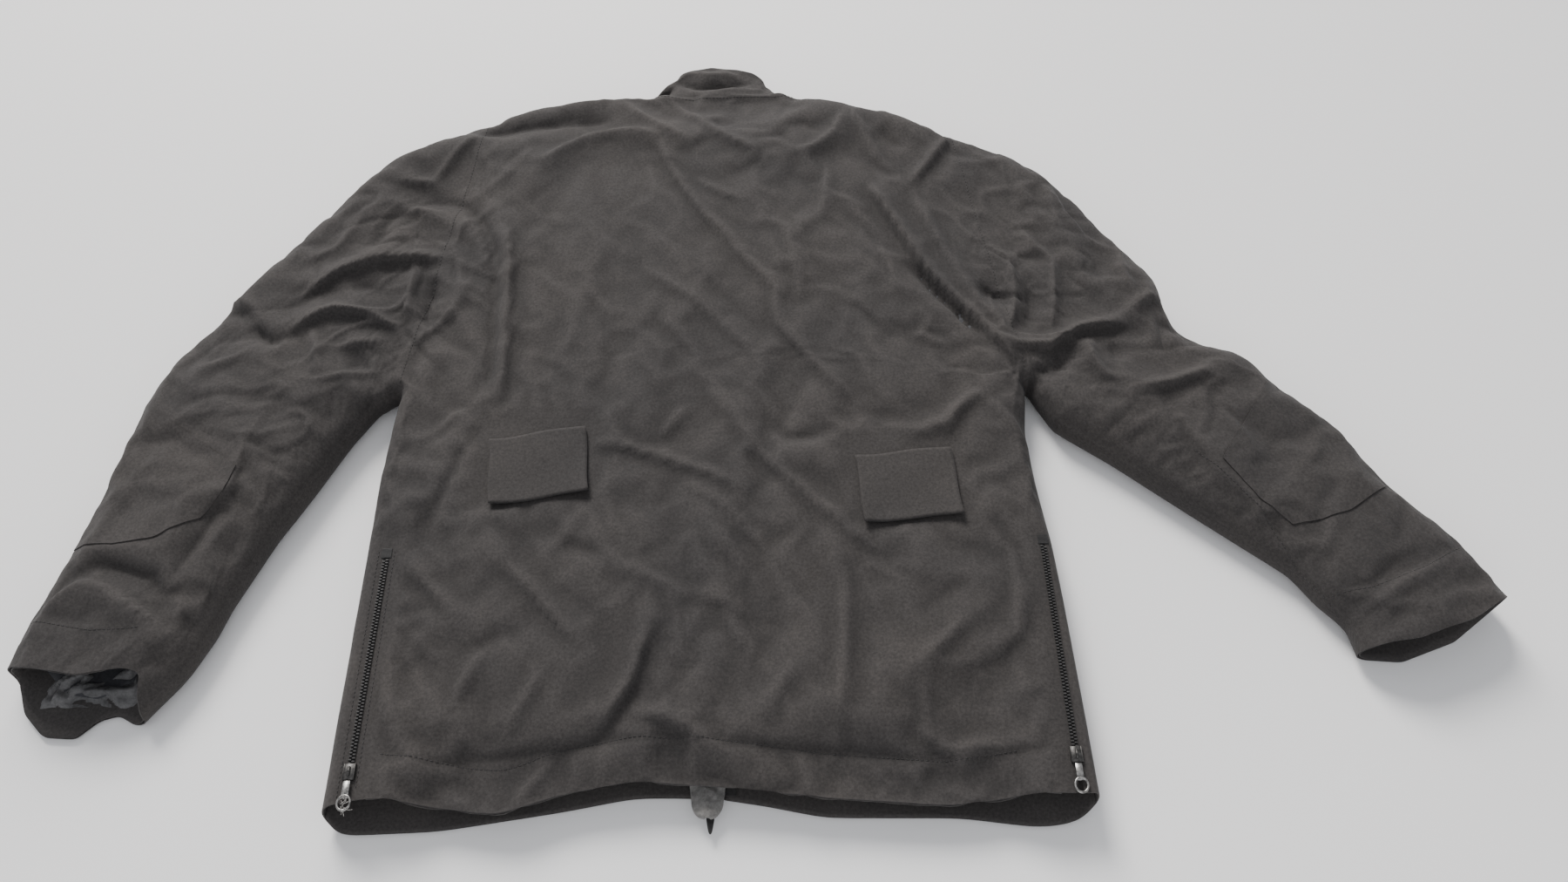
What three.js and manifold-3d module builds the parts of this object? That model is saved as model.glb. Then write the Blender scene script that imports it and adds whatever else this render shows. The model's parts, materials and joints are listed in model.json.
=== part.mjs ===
// Riding jacket in waxed cotton, laid face down with its back up.
// Millimetres, +Z up, +Y from hem to collar, +X to the right of someone who stands at the hem.
// The garment's own lines are drawn from its centre line (x = 0) and its underarm (y = 0),
// and the finished group is moved so that its box stands centred on the origin.
import * as THREE from 'three';
import { mergeVertices } from 'three/addons/utils/BufferGeometryUtils.js';
import Module from 'manifold-3d';

const wasm = await Module();
wasm.setup();

// ---------------------------------------------------------------- driving dimensions

const CHEST_WIDTH = 564;        // underarm to underarm, laid flat
const SIDE_EASE = 4;            // the rolled sides stand out from the underarm by this much
const BACK_LENGTH = 722;        // back hem to neck seam
const FRONT_EXTRA = 11;         // the front hem hangs this much lower
const ARMHOLE_DEPTH = 340;      // underarm to shoulder point, along Y
const SHOULDER_DROP = 32;       // neck seam down to shoulder point
const SHOULDER_WIDTH = 470;     // shoulder point to shoulder point
const NECK_WIDTH = 160;
const COLLAR_HEIGHT = 50;
const SLEEVE_LENGTH = 640;      // shoulder point to cuff along the outer edge

const BODY_HEIGHT = 34;         // laid thickness of the body
const CLOTH = 2;                // shell: two plies of waxed cotton and their interlining
const LINING = 0.8;
const GAP = 0.3;                // between touching pieces

const HEM_FACING = 33;
const CUFF_FACING = 45;

const BACK_PAD = { width: 240, length: 460, height: 8, corner: 45, low: -212 };
const LIMB_PAD_HEIGHT = 7;      // shoulder and elbow pads

const ZIP = { chain: 2.3, chainHeight: 1.8, tape: 15, tapeHeight: 0.8, slot: 6 };
const SLIDER = { length: 12, plate: 1, wall: 1.4, wallIn: 3 };
const VENT_LENGTH = 190;        // side-vent zip, from the hem up
const VENT_SET_IN = 21.5;       // chain centre in from the body's side
const PULLER = { width: 6, length: 30, height: 1 };
const HINGE_GAP = 0.9;          // a puller's end turns clear of its slider
const PULL_RING = { width: 11, length: 22, height: 1.5, slot: 3 };

const FLAP = { width: 82, length: 65, corner: 4, lining: 0.8 };
const LEFT_FLAP = { x: -153, y: -50, turn: 7 };
const RIGHT_FLAP = { x: 157, y: -76, turn: 5 };

// ---------------------------------------------------------------- materials

const FABRIC = { color: 0x4b4845, roughness: 0.88, metalness: 0 };
const LINING_CLOTH = { color: 0x26262a, roughness: 0.6, metalness: 0 };
const FACING = { color: 0x3a3836, roughness: 0.85, metalness: 0 };
const FOAM = { color: 0x6d6f74, roughness: 0.95, metalness: 0 };
const TAPE = { color: 0x17171a, roughness: 0.8, metalness: 0 };
const COIL = { color: 0x0f0f11, roughness: 0.45, metalness: 0 };
const METAL = { color: 0xb7b4ae, roughness: 0.35, metalness: 1 };
const PATCH = { color: 0xa7a49f, roughness: 0.8, metalness: 0 };

const jacket = new THREE.Group();

function add(name, geometry, finish) {
  const mesh = new THREE.Mesh(geometry, new THREE.MeshStandardMaterial(finish));
  mesh.name = name;
  jacket.add(mesh);
  return mesh;
}

// ---------------------------------------------------------------- solids and cuts

function positionsOnly(geometry) {
  const bare = geometry.clone();
  bare.deleteAttribute('normal');
  bare.deleteAttribute('uv');
  return mergeVertices(bare, 1e-4);
}

function toSolid(geometry) {
  const bare = positionsOnly(geometry);
  return new wasm.Manifold(new wasm.Mesh({
    numProp: 3,
    vertProperties: new Float32Array(bare.attributes.position.array),
    triVerts: new Uint32Array(bare.index.array),
  }));
}

function cut(geometry, tool) {
  const mesh = toSolid(geometry).subtract(toSolid(tool)).getMesh();
  const result = new THREE.BufferGeometry();
  result.setAttribute('position', new THREE.BufferAttribute(mesh.vertProperties, 3));
  result.setIndex(new THREE.BufferAttribute(mesh.triVerts, 1));
  result.computeVertexNormals();
  return result;
}

// the same piece for the other side of the garment
function mirrored(geometry) {
  const twin = positionsOnly(geometry).scale(-1, 1, 1);
  const order = twin.index.array;
  for (let i = 0; i < order.length; i += 3) [order[i], order[i + 1]] = [order[i + 1], order[i]];
  twin.computeVertexNormals();
  return twin;
}

// a box given by its low and high corners
function block(low, high) {
  const size = high.map((v, k) => v - low[k]);
  const geometry = new THREE.BoxGeometry(...size);
  return geometry.translate(...low.map((v, k) => v + size[k] / 2));
}

// a flat outline in X and Y, raised from z = low
function slab(shape, low, height) {
  const geometry = new THREE.ExtrudeGeometry(shape, { depth: height, bevelEnabled: false, curveSegments: 4 });
  return geometry.translate(0, 0, low);
}

// a section drawn in X and Z, run along Y from low to high
function rail(shape, low, high) {
  const geometry = new THREE.ExtrudeGeometry(shape, {
    depth: high - low, bevelEnabled: false, curveSegments: 6,
  });
  return geometry.rotateX(Math.PI / 2).translate(0, high, 0);
}

// a sheet of cloth: a thin box whose grid of corners is carried to place(column, row, top)
function sheet(columns, rows, place) {
  const geometry = new THREE.BoxGeometry(1, 1, 1, columns, rows, 1);
  const position = geometry.attributes.position;
  for (let i = 0; i < position.count; i += 1) {
    const column = Math.round((position.getX(i) + 0.5) * columns);
    const row = Math.round((position.getY(i) + 0.5) * rows);
    position.setXYZ(i, ...place(column, row, position.getZ(i) > 0));
  }
  geometry.computeVertexNormals();
  return geometry;
}

function roundedRectangle(width, length, corner) {
  const [w, l] = [width / 2, length / 2];
  const shape = new THREE.Shape();
  shape.absarc(w - corner, l - corner, corner, 0, Math.PI / 2);
  shape.absarc(corner - w, l - corner, corner, Math.PI / 2, Math.PI);
  shape.absarc(corner - w, corner - l, corner, Math.PI, Math.PI * 1.5);
  shape.absarc(w - corner, corner - l, corner, Math.PI * 1.5, Math.PI * 2);
  return shape;
}

function polygon(points) {
  return new THREE.Shape(points.map(([x, y]) => new THREE.Vector2(x, y)));
}

// the value at t of a line through [t, value] points
function along(points, t) {
  const next = points.findIndex((p) => p[0] >= t);
  if (next <= 0) return next === 0 ? points[0][1] : points[points.length - 1][1];
  const [[t0, a], [t1, b]] = [points[next - 1], points[next]];
  return a + ((b - a) * (t - t0)) / (t1 - t0);
}

// ---------------------------------------------------------------- body lines

const HALF_CHEST = CHEST_WIDTH / 2;
const SIDE = HALF_CHEST + SIDE_EASE;
const NECK_HALF = NECK_WIDTH / 2;
const SHOULDER_X = SHOULDER_WIDTH / 2;
const SHOULDER_Y = ARMHOLE_DEPTH;
const NECK_Y = SHOULDER_Y + SHOULDER_DROP;
const BACK_HEM = NECK_Y - BACK_LENGTH;
const FRONT_HEM = BACK_HEM - FRONT_EXTRA;
const SIDE_TOP = -8;            // the side panels stop below the underarm
const STEP = 0.6;               // height of the step in the panel edges there
const ROLL = BODY_HEIGHT / 2;   // radius of the rolled sides

// half the body's width at a height, with the edge it has beside the side panel
function halfWidth(y, edge) {
  const foot = HALF_CHEST - 4;
  return along([
    [BACK_HEM - 100, edge], [SIDE_TOP, edge], [SIDE_TOP + STEP, foot],
    [0, HALF_CHEST], [SHOULDER_Y, SHOULDER_X], [NECK_Y, NECK_HALF],
  ], y);
}

// how far the back falls, and the front rises, to the shoulder seams
const SHOULDER_ROLL = 40;
const LINING_ROLL = 60;         // the linings turn in a wider curve than the shell
const LINING_EASE = 3;          // and stand off it by this much there
const NECK_EASE = 30;
function shoulderBend(x, y, neckShare, roll) {
  const out = Math.abs(x);
  const line = out < NECK_HALF ? NECK_Y
    : NECK_Y - ((out - NECK_HALF) * SHOULDER_DROP) / (SHOULDER_X - NECK_HALF);
  const near = Math.max(0, 1 - Math.max(0, line - y) / roll);
  const open = Math.min(1, Math.max(0, (NECK_HALF - out) / NECK_EASE));
  return near * near * (1 - open * (1 - neckShare));
}

const BACK_FALL = 14;
const FRONT_RISE = BODY_HEIGHT - 2 * CLOTH - BACK_FALL - GAP;
const PLACKET_RISE = 3;         // the front edges stand off the ground over the zip
const PLACKET = { flat: 20, foot: 30 };

const backUnder = (x, y, roll = SHOULDER_ROLL) => BODY_HEIGHT - CLOTH
  - BACK_FALL * shoulderBend(x, y, 0.4, roll);
const frontUnder = (x, y, roll = SHOULDER_ROLL) => FRONT_RISE * shoulderBend(x, y, 0, roll)
  + along([[PLACKET.flat, PLACKET_RISE], [PLACKET.foot, 0]], Math.abs(x));

const liningEase = (y) => along([[270, 0], [310, LINING_EASE]], y);

const UPPER_ROWS = [
  SIDE_TOP, SIDE_TOP + STEP, 0, 90, 190, 270, 310, SHOULDER_Y,
  SHOULDER_Y + SHOULDER_DROP * 0.35, SHOULDER_Y + SHOULDER_DROP * 0.7, NECK_Y,
];
const BODY_SHARES = [-1, -0.75, -0.35, 0, 0.35, 0.75, 1];

// ---------------------------------------------------------------- back

const BACK_EDGE = SIDE - VENT_SET_IN - ZIP.slot;   // the back ends at the vent zip's slot

const backRows = [BACK_HEM, BACK_HEM + HEM_FACING, -230, -120, ...UPPER_ROWS];
add('back_panel', sheet(BODY_SHARES.length - 1, backRows.length - 1, (column, row, top) => {
  const y = backRows[row];
  const x = BODY_SHARES[column] * halfWidth(y, BACK_EDGE);
  return [x, y, backUnder(x, y) + (top ? CLOTH : 0)];
}), FABRIC);

add('back_hem_facing', block(
  [-BACK_EDGE + 9, BACK_HEM + 1, BODY_HEIGHT - CLOTH - GAP - LINING],
  [BACK_EDGE - 9, BACK_HEM + HEM_FACING, BODY_HEIGHT - CLOTH - GAP],
), FACING);

const padTop = BODY_HEIGHT - CLOTH - GAP;
const padShape = roundedRectangle(BACK_PAD.width, BACK_PAD.length, BACK_PAD.corner);
add('back_protector', slab(padShape, padTop - BACK_PAD.height, BACK_PAD.height)
  .translate(0, BACK_PAD.low + BACK_PAD.length / 2, 0), FOAM);

// the lining is cut back from the shoulder seams and the armholes
const LINING_SETBACK = { seam: 14, edge: 8 };
const liningHalf = (y, edge) => halfWidth(y + LINING_SETBACK.seam, edge) - LINING_SETBACK.edge;
const liningTop = NECK_Y - LINING_SETBACK.seam;
const LINING_SLACK = 35;        // the lining falls from the hem facing to below the protector
const liningRows = [
  BACK_HEM + HEM_FACING + GAP, BACK_HEM + HEM_FACING + LINING_SLACK, -120, SIDE_TOP - 20,
  SIDE_TOP + 10, 90, 190, 270, 310, SHOULDER_Y - 5, SHOULDER_Y + SHOULDER_DROP * 0.3, liningTop,
];
// it lies under the protector, and closer to the shell above it
const belowBack = (y) => along([[270, 2 * GAP + BACK_PAD.height], [310, GAP + LINING_EASE]], y);
add('back_lining', sheet(BODY_SHARES.length - 1, liningRows.length - 1, (column, row, top) => {
  const y = liningRows[row];
  const x = BODY_SHARES[column] * liningHalf(y, BACK_EDGE);
  const below = row === 0 ? GAP : belowBack(y);
  return [x, y, backUnder(x, y, LINING_ROLL) - below - (top ? 0 : LINING)];
}), LINING_CLOTH);

const HANGER = { width: 60, depth: 7, height: 1 };
const hangerTop = backUnder(0, liningTop, LINING_ROLL) - belowBack(liningTop) - LINING - GAP;
add('hanger_loop', block(
  [-HANGER.width / 2, liningTop - HANGER.depth, hangerTop - HANGER.height],
  [HANGER.width / 2, liningTop, hangerTop],
), TAPE);

// ---------------------------------------------------------------- sides

const LEG = 56;                 // the side panel's underside reaches in this far
for (const [side, sign] of [['left', -1], ['right', 1]]) {
  const centre = SIDE - ROLL;
  const section = new THREE.Shape();
  section.moveTo(SIDE - LEG, 0);
  section.absarc(centre, ROLL, ROLL, -Math.PI / 2, Math.PI / 2);
  section.lineTo(BACK_EDGE + GAP, BODY_HEIGHT);
  section.lineTo(BACK_EDGE + GAP, BODY_HEIGHT - CLOTH);
  section.absarc(centre, ROLL, ROLL - CLOTH, Math.PI / 2, -Math.PI / 2, true);
  section.lineTo(SIDE - LEG, CLOTH);
  const panel = rail(section, FRONT_HEM, SIDE_TOP);
  const slot = block(
    [BACK_EDGE - 5, FRONT_HEM - 5, BODY_HEIGHT - 4],
    [BACK_EDGE + 2 * ZIP.slot, BACK_HEM + VENT_LENGTH, BODY_HEIGHT + 5],
  );
  const geometry = cut(panel, slot);
  add(`${side}_side_panel`, sign < 0 ? mirrored(geometry) : geometry, FABRIC);
}

// ---------------------------------------------------------------- fronts

const FRONT_EDGE = SIDE - LEG - GAP;
const frontRows = [FRONT_HEM, FRONT_HEM + HEM_FACING, -120, ...UPPER_ROWS];
const zipTapeLow = PLACKET_RISE + CLOTH + GAP;
const frontLiningRows = [
  FRONT_HEM + HEM_FACING + GAP, -120, SIDE_TOP - 20, SIDE_TOP + 10,
  90, 190, 270, 310, SHOULDER_Y - 5, SHOULDER_Y + SHOULDER_DROP * 0.3, liningTop,
];

// places across one front: the zip's slot, the placket's rise and then shares of the rest
function frontColumns(half, inner) {
  const rest = half - PLACKET.foot;
  return [inner, PLACKET.flat, PLACKET.foot, PLACKET.foot + rest * 0.45, half];
}

for (const [side, sign] of [['left', -1], ['right', 1]]) {
  // columns run from the low x to the high x on either side of the zip
  const across = (columns, column) => (sign < 0 ? -columns[columns.length - 1 - column] : columns[column]);
  add(`${side}_front_panel`, sheet(4, frontRows.length - 1, (column, row, top) => {
    const y = frontRows[row];
    const x = across(frontColumns(halfWidth(y, FRONT_EDGE), ZIP.slot - 1), column);
    return [x, y, frontUnder(x, y) + (top ? CLOTH : 0)];
  }), FABRIC);

  add(`${side}_front_lining`, sheet(4, frontLiningRows.length - 1, (column, row, top) => {
    const y = frontLiningRows[row];
    const x = across(frontColumns(liningHalf(y, FRONT_EDGE), ZIP.tape + GAP), column);
    return [x, y, frontUnder(x, y, LINING_ROLL) + liningEase(y) + CLOTH + GAP + (top ? LINING : 0)];
  }), LINING_CLOTH);

  const facing = block(
    [PLACKET.foot + 1, FRONT_HEM + 1, CLOTH + GAP],
    [FRONT_EDGE - 3, FRONT_HEM + HEM_FACING, CLOTH + GAP + LINING],
  );
  add(`${side}_front_hem_facing`, sign < 0 ? mirrored(facing) : facing, FACING);
}

// ---------------------------------------------------------------- front zip

const ZIP_LOW = FRONT_HEM + 17;
const ZIP_HIGH = NECK_Y - 12;
const STOP_LENGTH = 10;
for (const [side, sign] of [['left', -1], ['right', 1]]) {
  const reach = [sign * GAP / 2, sign * (ZIP.tape)].sort((a, b) => a - b);
  add(`${side}_zip_tape`, block(
    [reach[0], ZIP_LOW - STOP_LENGTH, zipTapeLow], [reach[1], ZIP_HIGH, zipTapeLow + ZIP.tapeHeight],
  ), TAPE);
  const chain = [sign * GAP / 2, sign * (ZIP.chain + GAP / 2)].sort((a, b) => a - b);
  const chainTop = zipTapeLow - GAP;
  add(`${side}_zip_chain`, block(
    [chain[0], ZIP_LOW, chainTop - ZIP.chainHeight], [chain[1], ZIP_HIGH, chainTop],
  ), COIL);
}
add('zip_bottom_stop', block(
  [-ZIP.slot + 1.5, ZIP_LOW - GAP - STOP_LENGTH, zipTapeLow - GAP - ZIP.chainHeight],
  [ZIP.slot - 1.5, ZIP_LOW - GAP, zipTapeLow - GAP],
), METAL);
add('zip_end_patch', block(
  [-ZIP.tape - 4, ZIP_LOW - STOP_LENGTH - 2, zipTapeLow + ZIP.tapeHeight + GAP],
  [ZIP.tape + 4, ZIP_LOW + 11, zipTapeLow + ZIP.tapeHeight + GAP + LINING],
), PATCH);

// a slider: a plate with a wall on each side of the chain, open towards the tape
function sliderSection(plateLow, wallHigh) {
  const [outer, inner] = [SLIDER.wallIn + SLIDER.wall, SLIDER.wallIn];
  const plateHigh = plateLow + (wallHigh > plateLow ? SLIDER.plate : -SLIDER.plate);
  return polygon([
    [-outer, plateLow], [outer, plateLow], [outer, wallHigh], [inner, wallHigh],
    [inner, plateHigh], [-inner, plateHigh], [-inner, wallHigh], [-outer, wallHigh],
  ]);
}

const frontPlateLow = zipTapeLow - 2 * GAP - ZIP.chainHeight - SLIDER.plate;
const sliderLow = ZIP_HIGH - 8 - SLIDER.length;
add('front_zip_slider', rail(
  sliderSection(frontPlateLow, zipTapeLow - GAP), sliderLow, sliderLow + SLIDER.length,
), METAL);
add('front_zip_puller', slab(
  roundedRectangle(PULLER.width, PULLER.length, PULLER.width / 2 - 0.01), frontPlateLow, PULLER.height,
).translate(0, sliderLow - HINGE_GAP - PULLER.length / 2, 0), METAL);

// ---------------------------------------------------------------- side-vent zips

for (const [side, sign] of [['left', -1], ['right', 1]]) {
  const centre = sign * (SIDE - VENT_SET_IN);
  const tapeTop = BODY_HEIGHT - CLOTH - GAP;
  const low = BACK_HEM + 10;
  const high = BACK_HEM + VENT_LENGTH - 3;
  const strip = (from, to, bottom, top, y0 = low) => {
    const [x0, x1] = [centre + sign * from, centre + sign * to].sort((a, b) => a - b);
    return block([x0, y0, bottom], [x1, high, top]);
  };
  const half = GAP / 2;
  const chainLow = BODY_HEIGHT - CLOTH;
  add(`${side}_vent_outer_tape`, strip(half, 5.5, tapeTop - ZIP.tapeHeight, tapeTop), TAPE);
  add(`${side}_vent_inner_tape`, strip(-12, -half, tapeTop - ZIP.tapeHeight, tapeTop), TAPE);
  add(`${side}_vent_outer_chain`, strip(half, half + ZIP.chain, chainLow, chainLow + ZIP.chainHeight), COIL);
  add(`${side}_vent_inner_chain`, strip(-half - ZIP.chain, -half, chainLow, chainLow + ZIP.chainHeight), COIL);

  const plateTop = chainLow + ZIP.chainHeight + GAP + SLIDER.plate;
  const slider = rail(sliderSection(-plateTop, -chainLow - GAP), low - 4, low - 4 + SLIDER.length);
  slider.rotateY(Math.PI).translate(centre, 0, 0);
  add(`${side}_vent_slider`, slider, METAL);

  const ring = roundedRectangle(PULL_RING.width, PULL_RING.length, PULL_RING.width / 2 - 0.01);
  const eye = roundedRectangle(PULL_RING.slot, PULL_RING.length - PULL_RING.width, PULL_RING.slot / 2 - 0.01);
  ring.holes.push(eye);
  const pull = slab(ring, BODY_HEIGHT + GAP, PULL_RING.height);
  pull.translate(centre, low - 4 - HINGE_GAP - PULL_RING.length / 2, 0);
  add(`${side}_vent_pull`, pull, METAL);
}

// ---------------------------------------------------------------- back flaps

for (const [side, place] of [['left', LEFT_FLAP], ['right', RIGHT_FLAP]]) {
  const outline = roundedRectangle(FLAP.width, FLAP.length, FLAP.corner);
  const inner = roundedRectangle(FLAP.width - 6, FLAP.length - 6, FLAP.corner);
  const liningLow = BODY_HEIGHT + GAP;
  const shellLow = liningLow + FLAP.lining + GAP;
  const flapLining = slab(inner, liningLow, FLAP.lining);
  const flapShell = slab(outline, shellLow, CLOTH);
  for (const [name, geometry, finish] of [
    [`${side}_back_flap`, flapShell, FABRIC], [`${side}_back_flap_lining`, flapLining, FACING],
  ]) {
    // the flap hangs from the middle of its top edge
    geometry.translate(0, -FLAP.length / 2, 0);
    const mesh = add(name, geometry, finish);
    mesh.position.set(place.x, place.y, 0);
    mesh.rotation.z = THREE.MathUtils.degToRad(place.turn);
  }
}

// ---------------------------------------------------------------- collar

const COLLAR_WALL = 3;          // stand collar: two plies and a stiff interlining
const COLLAR_FLARE = 14;        // each side leans in by this much at the top edge

// the outline of a laid tube across its width (-1 to 1) and its height (0 to 1)
const CROWN = [
  [-1, 0.42], [-0.97, 0.7], [-0.85, 0.88], [-0.6, 0.97], [-0.25, 1],
  [0.25, 1], [0.6, 0.97], [0.85, 0.88], [0.97, 0.7], [1, 0.42],
];
const SECTION = polygon([...CROWN, [0.96, 0.15], [0.86, 0], [-0.86, 0], [-0.96, 0.15]].reverse());

// a laid tube: its section at each station spans from a to b and stands height tall;
// inset takes a ply off all round, and drop takes more off the top, with half that off each side
function laidTube(stations, inset, drop = 0) {
  const geometry = new THREE.ExtrudeGeometry(SECTION, {
    depth: 1, steps: stations.length - 1, bevelEnabled: false,
  });
  const position = geometry.attributes.position;
  for (let i = 0; i < position.count; i += 1) {
    const station = stations[Math.round(position.getZ(i) * (stations.length - 1))];
    const { a, b, height, base = 0 } = station;
    const width = Math.hypot(b[0] - a[0], b[1] - a[1]);
    const share = 0.5 + (position.getX(i) / 2) * (1 - (2 * inset + drop) / width);
    position.setXYZ(
      i,
      a[0] + (b[0] - a[0]) * share,
      a[1] + (b[1] - a[1]) * share,
      base + inset + position.getY(i) * (height - 2 * inset - drop),
    );
  }
  geometry.computeVertexNormals();
  return geometry;
}

// the same stations, with the two end ones carried on past the ends by a share of their bay
const PAST = 0.1;
function past(stations) {
  const on = (from, to) => to + (to - from) * PAST;
  const carry = (from, to) => ({
    ...to,
    a: to.a.map((v, k) => on(from.a[k], v)),
    b: to.b.map((v, k) => on(from.b[k], v)),
    height: on(from.height, to.height),
  });
  const last = stations.length - 1;
  return [
    carry(stations[1], stations[0]), ...stations.slice(1, last),
    carry(stations[last - 1], stations[last]),
  ];
}

function hollowTube(stations, inset, wall, drop = 0) {
  return cut(laidTube(stations, inset, drop), laidTube(past(stations), inset + wall, drop));
}

const collarY = NECK_Y + GAP;
const collarHalf = NECK_HALF + 2;
const collarStations = [
  { a: [-collarHalf + COLLAR_FLARE * 2, collarY + COLLAR_HEIGHT], b: [collarHalf - COLLAR_FLARE, collarY + COLLAR_HEIGHT], height: 24 },
  { a: [-collarHalf + COLLAR_FLARE, collarY + COLLAR_HEIGHT * 0.7], b: [collarHalf - COLLAR_FLARE / 2, collarY + COLLAR_HEIGHT * 0.7], height: 27 },
  { a: [-collarHalf, collarY], b: [collarHalf, collarY], height: 29 },
];
add('collar', hollowTube(collarStations, 0, COLLAR_WALL), FABRIC);
add('collar_lining', hollowTube(collarStations, COLLAR_WALL + GAP, LINING), LINING_CLOTH);

// ---------------------------------------------------------------- sleeves

// Each sleeve lies in its own line. Outer and inner edge points are set off from the shoulder
// point and from the underarm, for a sleeve of SLEEVE_BASE length, and grow with its length.
const SLEEVE_BASE = 640;
const SLEEVES = {
  left: {
    sign: -1,
    outer: [[0, 0], [-95, -62], [-170, -167], [-227, -267], [-270, -382], [-281, -482], [-305, -600]],
    inner: [[0, 0], [-16, -10], [-36, -44], [-56, -80], [-70, -110], [-96, -177], [-120, -288]],
    height: [34, 40, 44, 46, 44, 43, 42],
  },
  right: {
    sign: 1,
    outer: [[0, 0], [87, -90], [150, -187], [205, -297], [297, -394], [343, -478], [395, -559]],
    inner: [[0, 0], [18, -24], [48, -74], [80, -106], [113, -134], [164, -178], [221, -262]],
    height: [34, 40, 44, 46, 44, 40, 36],
  },
};
const ELBOW_STATION = 4;
const PAD_GAP = 0.9;            // above and below a pad, which is stiffer than the cloth
const LIMB_DROP = LIMB_PAD_HEIGHT + 2 * PAD_GAP;

// a point's move square to a station's line, down the sleeve
function downSleeve(station, by) {
  const [dx, dy] = [station.b[0] - station.a[0], station.b[1] - station.a[1]];
  const length = Math.hypot(dx, dy);
  const move = ([x, y]) => [x + (dy / length) * by, y - (dx / length) * by];
  return { ...station, a: move(station.a), b: move(station.b) };
}

// a pad under the crown of a tube, or a patch on it, with an edge at each of the given bays
function onCrown(stations, bays, low, height) {
  const shares = [-0.6, -0.25, 0.25, 0.6];
  // rows run up the sleeve, so that a sheet's columns and rows keep their turn
  const rows = [...bays].reverse();
  return sheet(shares.length - 1, rows.length - 1, (column, row, top) => {
    const index = Math.min(Math.floor(rows[row]), stations.length - 2);
    const mix = rows[row] - index;
    const [from, to] = [stations[index], stations[index + 1]];
    const share = 0.5 + shares[column] / 2;
    const across = (station, k) => station.a[k] + (station.b[k] - station.a[k]) * share;
    const blend = (p, q) => p + (q - p) * mix;
    const crown = along(CROWN, shares[column]) * blend(from.height, to.height);
    return [
      blend(across(from, 0), across(to, 0)), blend(across(from, 1), across(to, 1)),
      crown + low + (top ? height : 0),
    ];
  });
}

const padLow = -CLOTH - PAD_GAP - LIMB_PAD_HEIGHT;
const PATCH_CLOTH = 1;
for (const [side, lines] of Object.entries(SLEEVES)) {
  const reach = SLEEVE_LENGTH / SLEEVE_BASE;
  const stations = lines.outer.map((out, k) => {
    const outer = [lines.sign * SHOULDER_X + out[0] * reach, SHOULDER_Y + out[1] * reach];
    const inner = [lines.sign * HALF_CHEST + lines.inner[k][0] * reach, lines.inner[k][1] * reach];
    const [a, b] = lines.sign < 0 ? [outer, inner] : [inner, outer];
    return { a, b, height: lines.height[k] };
  });
  const upper = stations.slice(0, ELBOW_STATION + 1);
  const lower = stations.slice(ELBOW_STATION);
  upper[0] = downSleeve(upper[0], GAP);
  lower[0] = downSleeve(lower[0], GAP);

  add(`${side}_upper_sleeve`, hollowTube(upper, 0, CLOTH), FABRIC);
  add(`${side}_upper_sleeve_lining`, hollowTube(upper, CLOTH + GAP, LINING, LIMB_DROP), LINING_CLOTH);
  add(`${side}_shoulder_pad`, onCrown(upper, [0.55, 1, 1.5, 1.95], padLow, LIMB_PAD_HEIGHT), FOAM);

  // the lining stops at the facing that turns in at the cuff
  const cuff = lower[lower.length - 1];
  const before = lower[lower.length - 2];
  const run = Math.hypot(cuff.a[0] - before.a[0], cuff.a[1] - before.a[1]);
  const mixed = (share) => ({
    a: cuff.a.map((v, k) => v + (before.a[k] - v) * share),
    b: cuff.b.map((v, k) => v + (before.b[k] - v) * share),
    height: cuff.height + (before.height - cuff.height) * share,
  });
  const facingEnd = mixed(CUFF_FACING / run);
  const liningEnd = mixed((CUFF_FACING + 1) / run);
  add(`${side}_forearm_sleeve`, hollowTube(lower, 0, CLOTH), FABRIC);
  add(`${side}_forearm_lining`, hollowTube([...lower.slice(0, -1), liningEnd], CLOTH + GAP, LINING, LIMB_DROP), LINING_CLOTH);
  add(`${side}_cuff_facing`, hollowTube([facingEnd, mixed(1 / run)], CLOTH + GAP, LINING), FACING);
  add(`${side}_elbow_pad`, onCrown(lower, [0.08, 0.92], padLow, LIMB_PAD_HEIGHT), FOAM);
  add(`${side}_elbow_patch`, onCrown(lower, [0.05, 1], 2 * GAP, PATCH_CLOTH), FABRIC);
}

// ---------------------------------------------------------------- stand the group on the origin

const box = new THREE.Box3().setFromObject(jacket);
const middle = box.getCenter(new THREE.Vector3());
jacket.position.set(-middle.x, -middle.y, -box.min.z);
jacket.updateMatrixWorld(true);

export default jacket;
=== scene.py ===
import json
import math
import random
import bmesh
import bpy
import numpy as np
from mathutils import Matrix, Vector, noise
from mathutils.bvhtree import BVHTree


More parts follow.
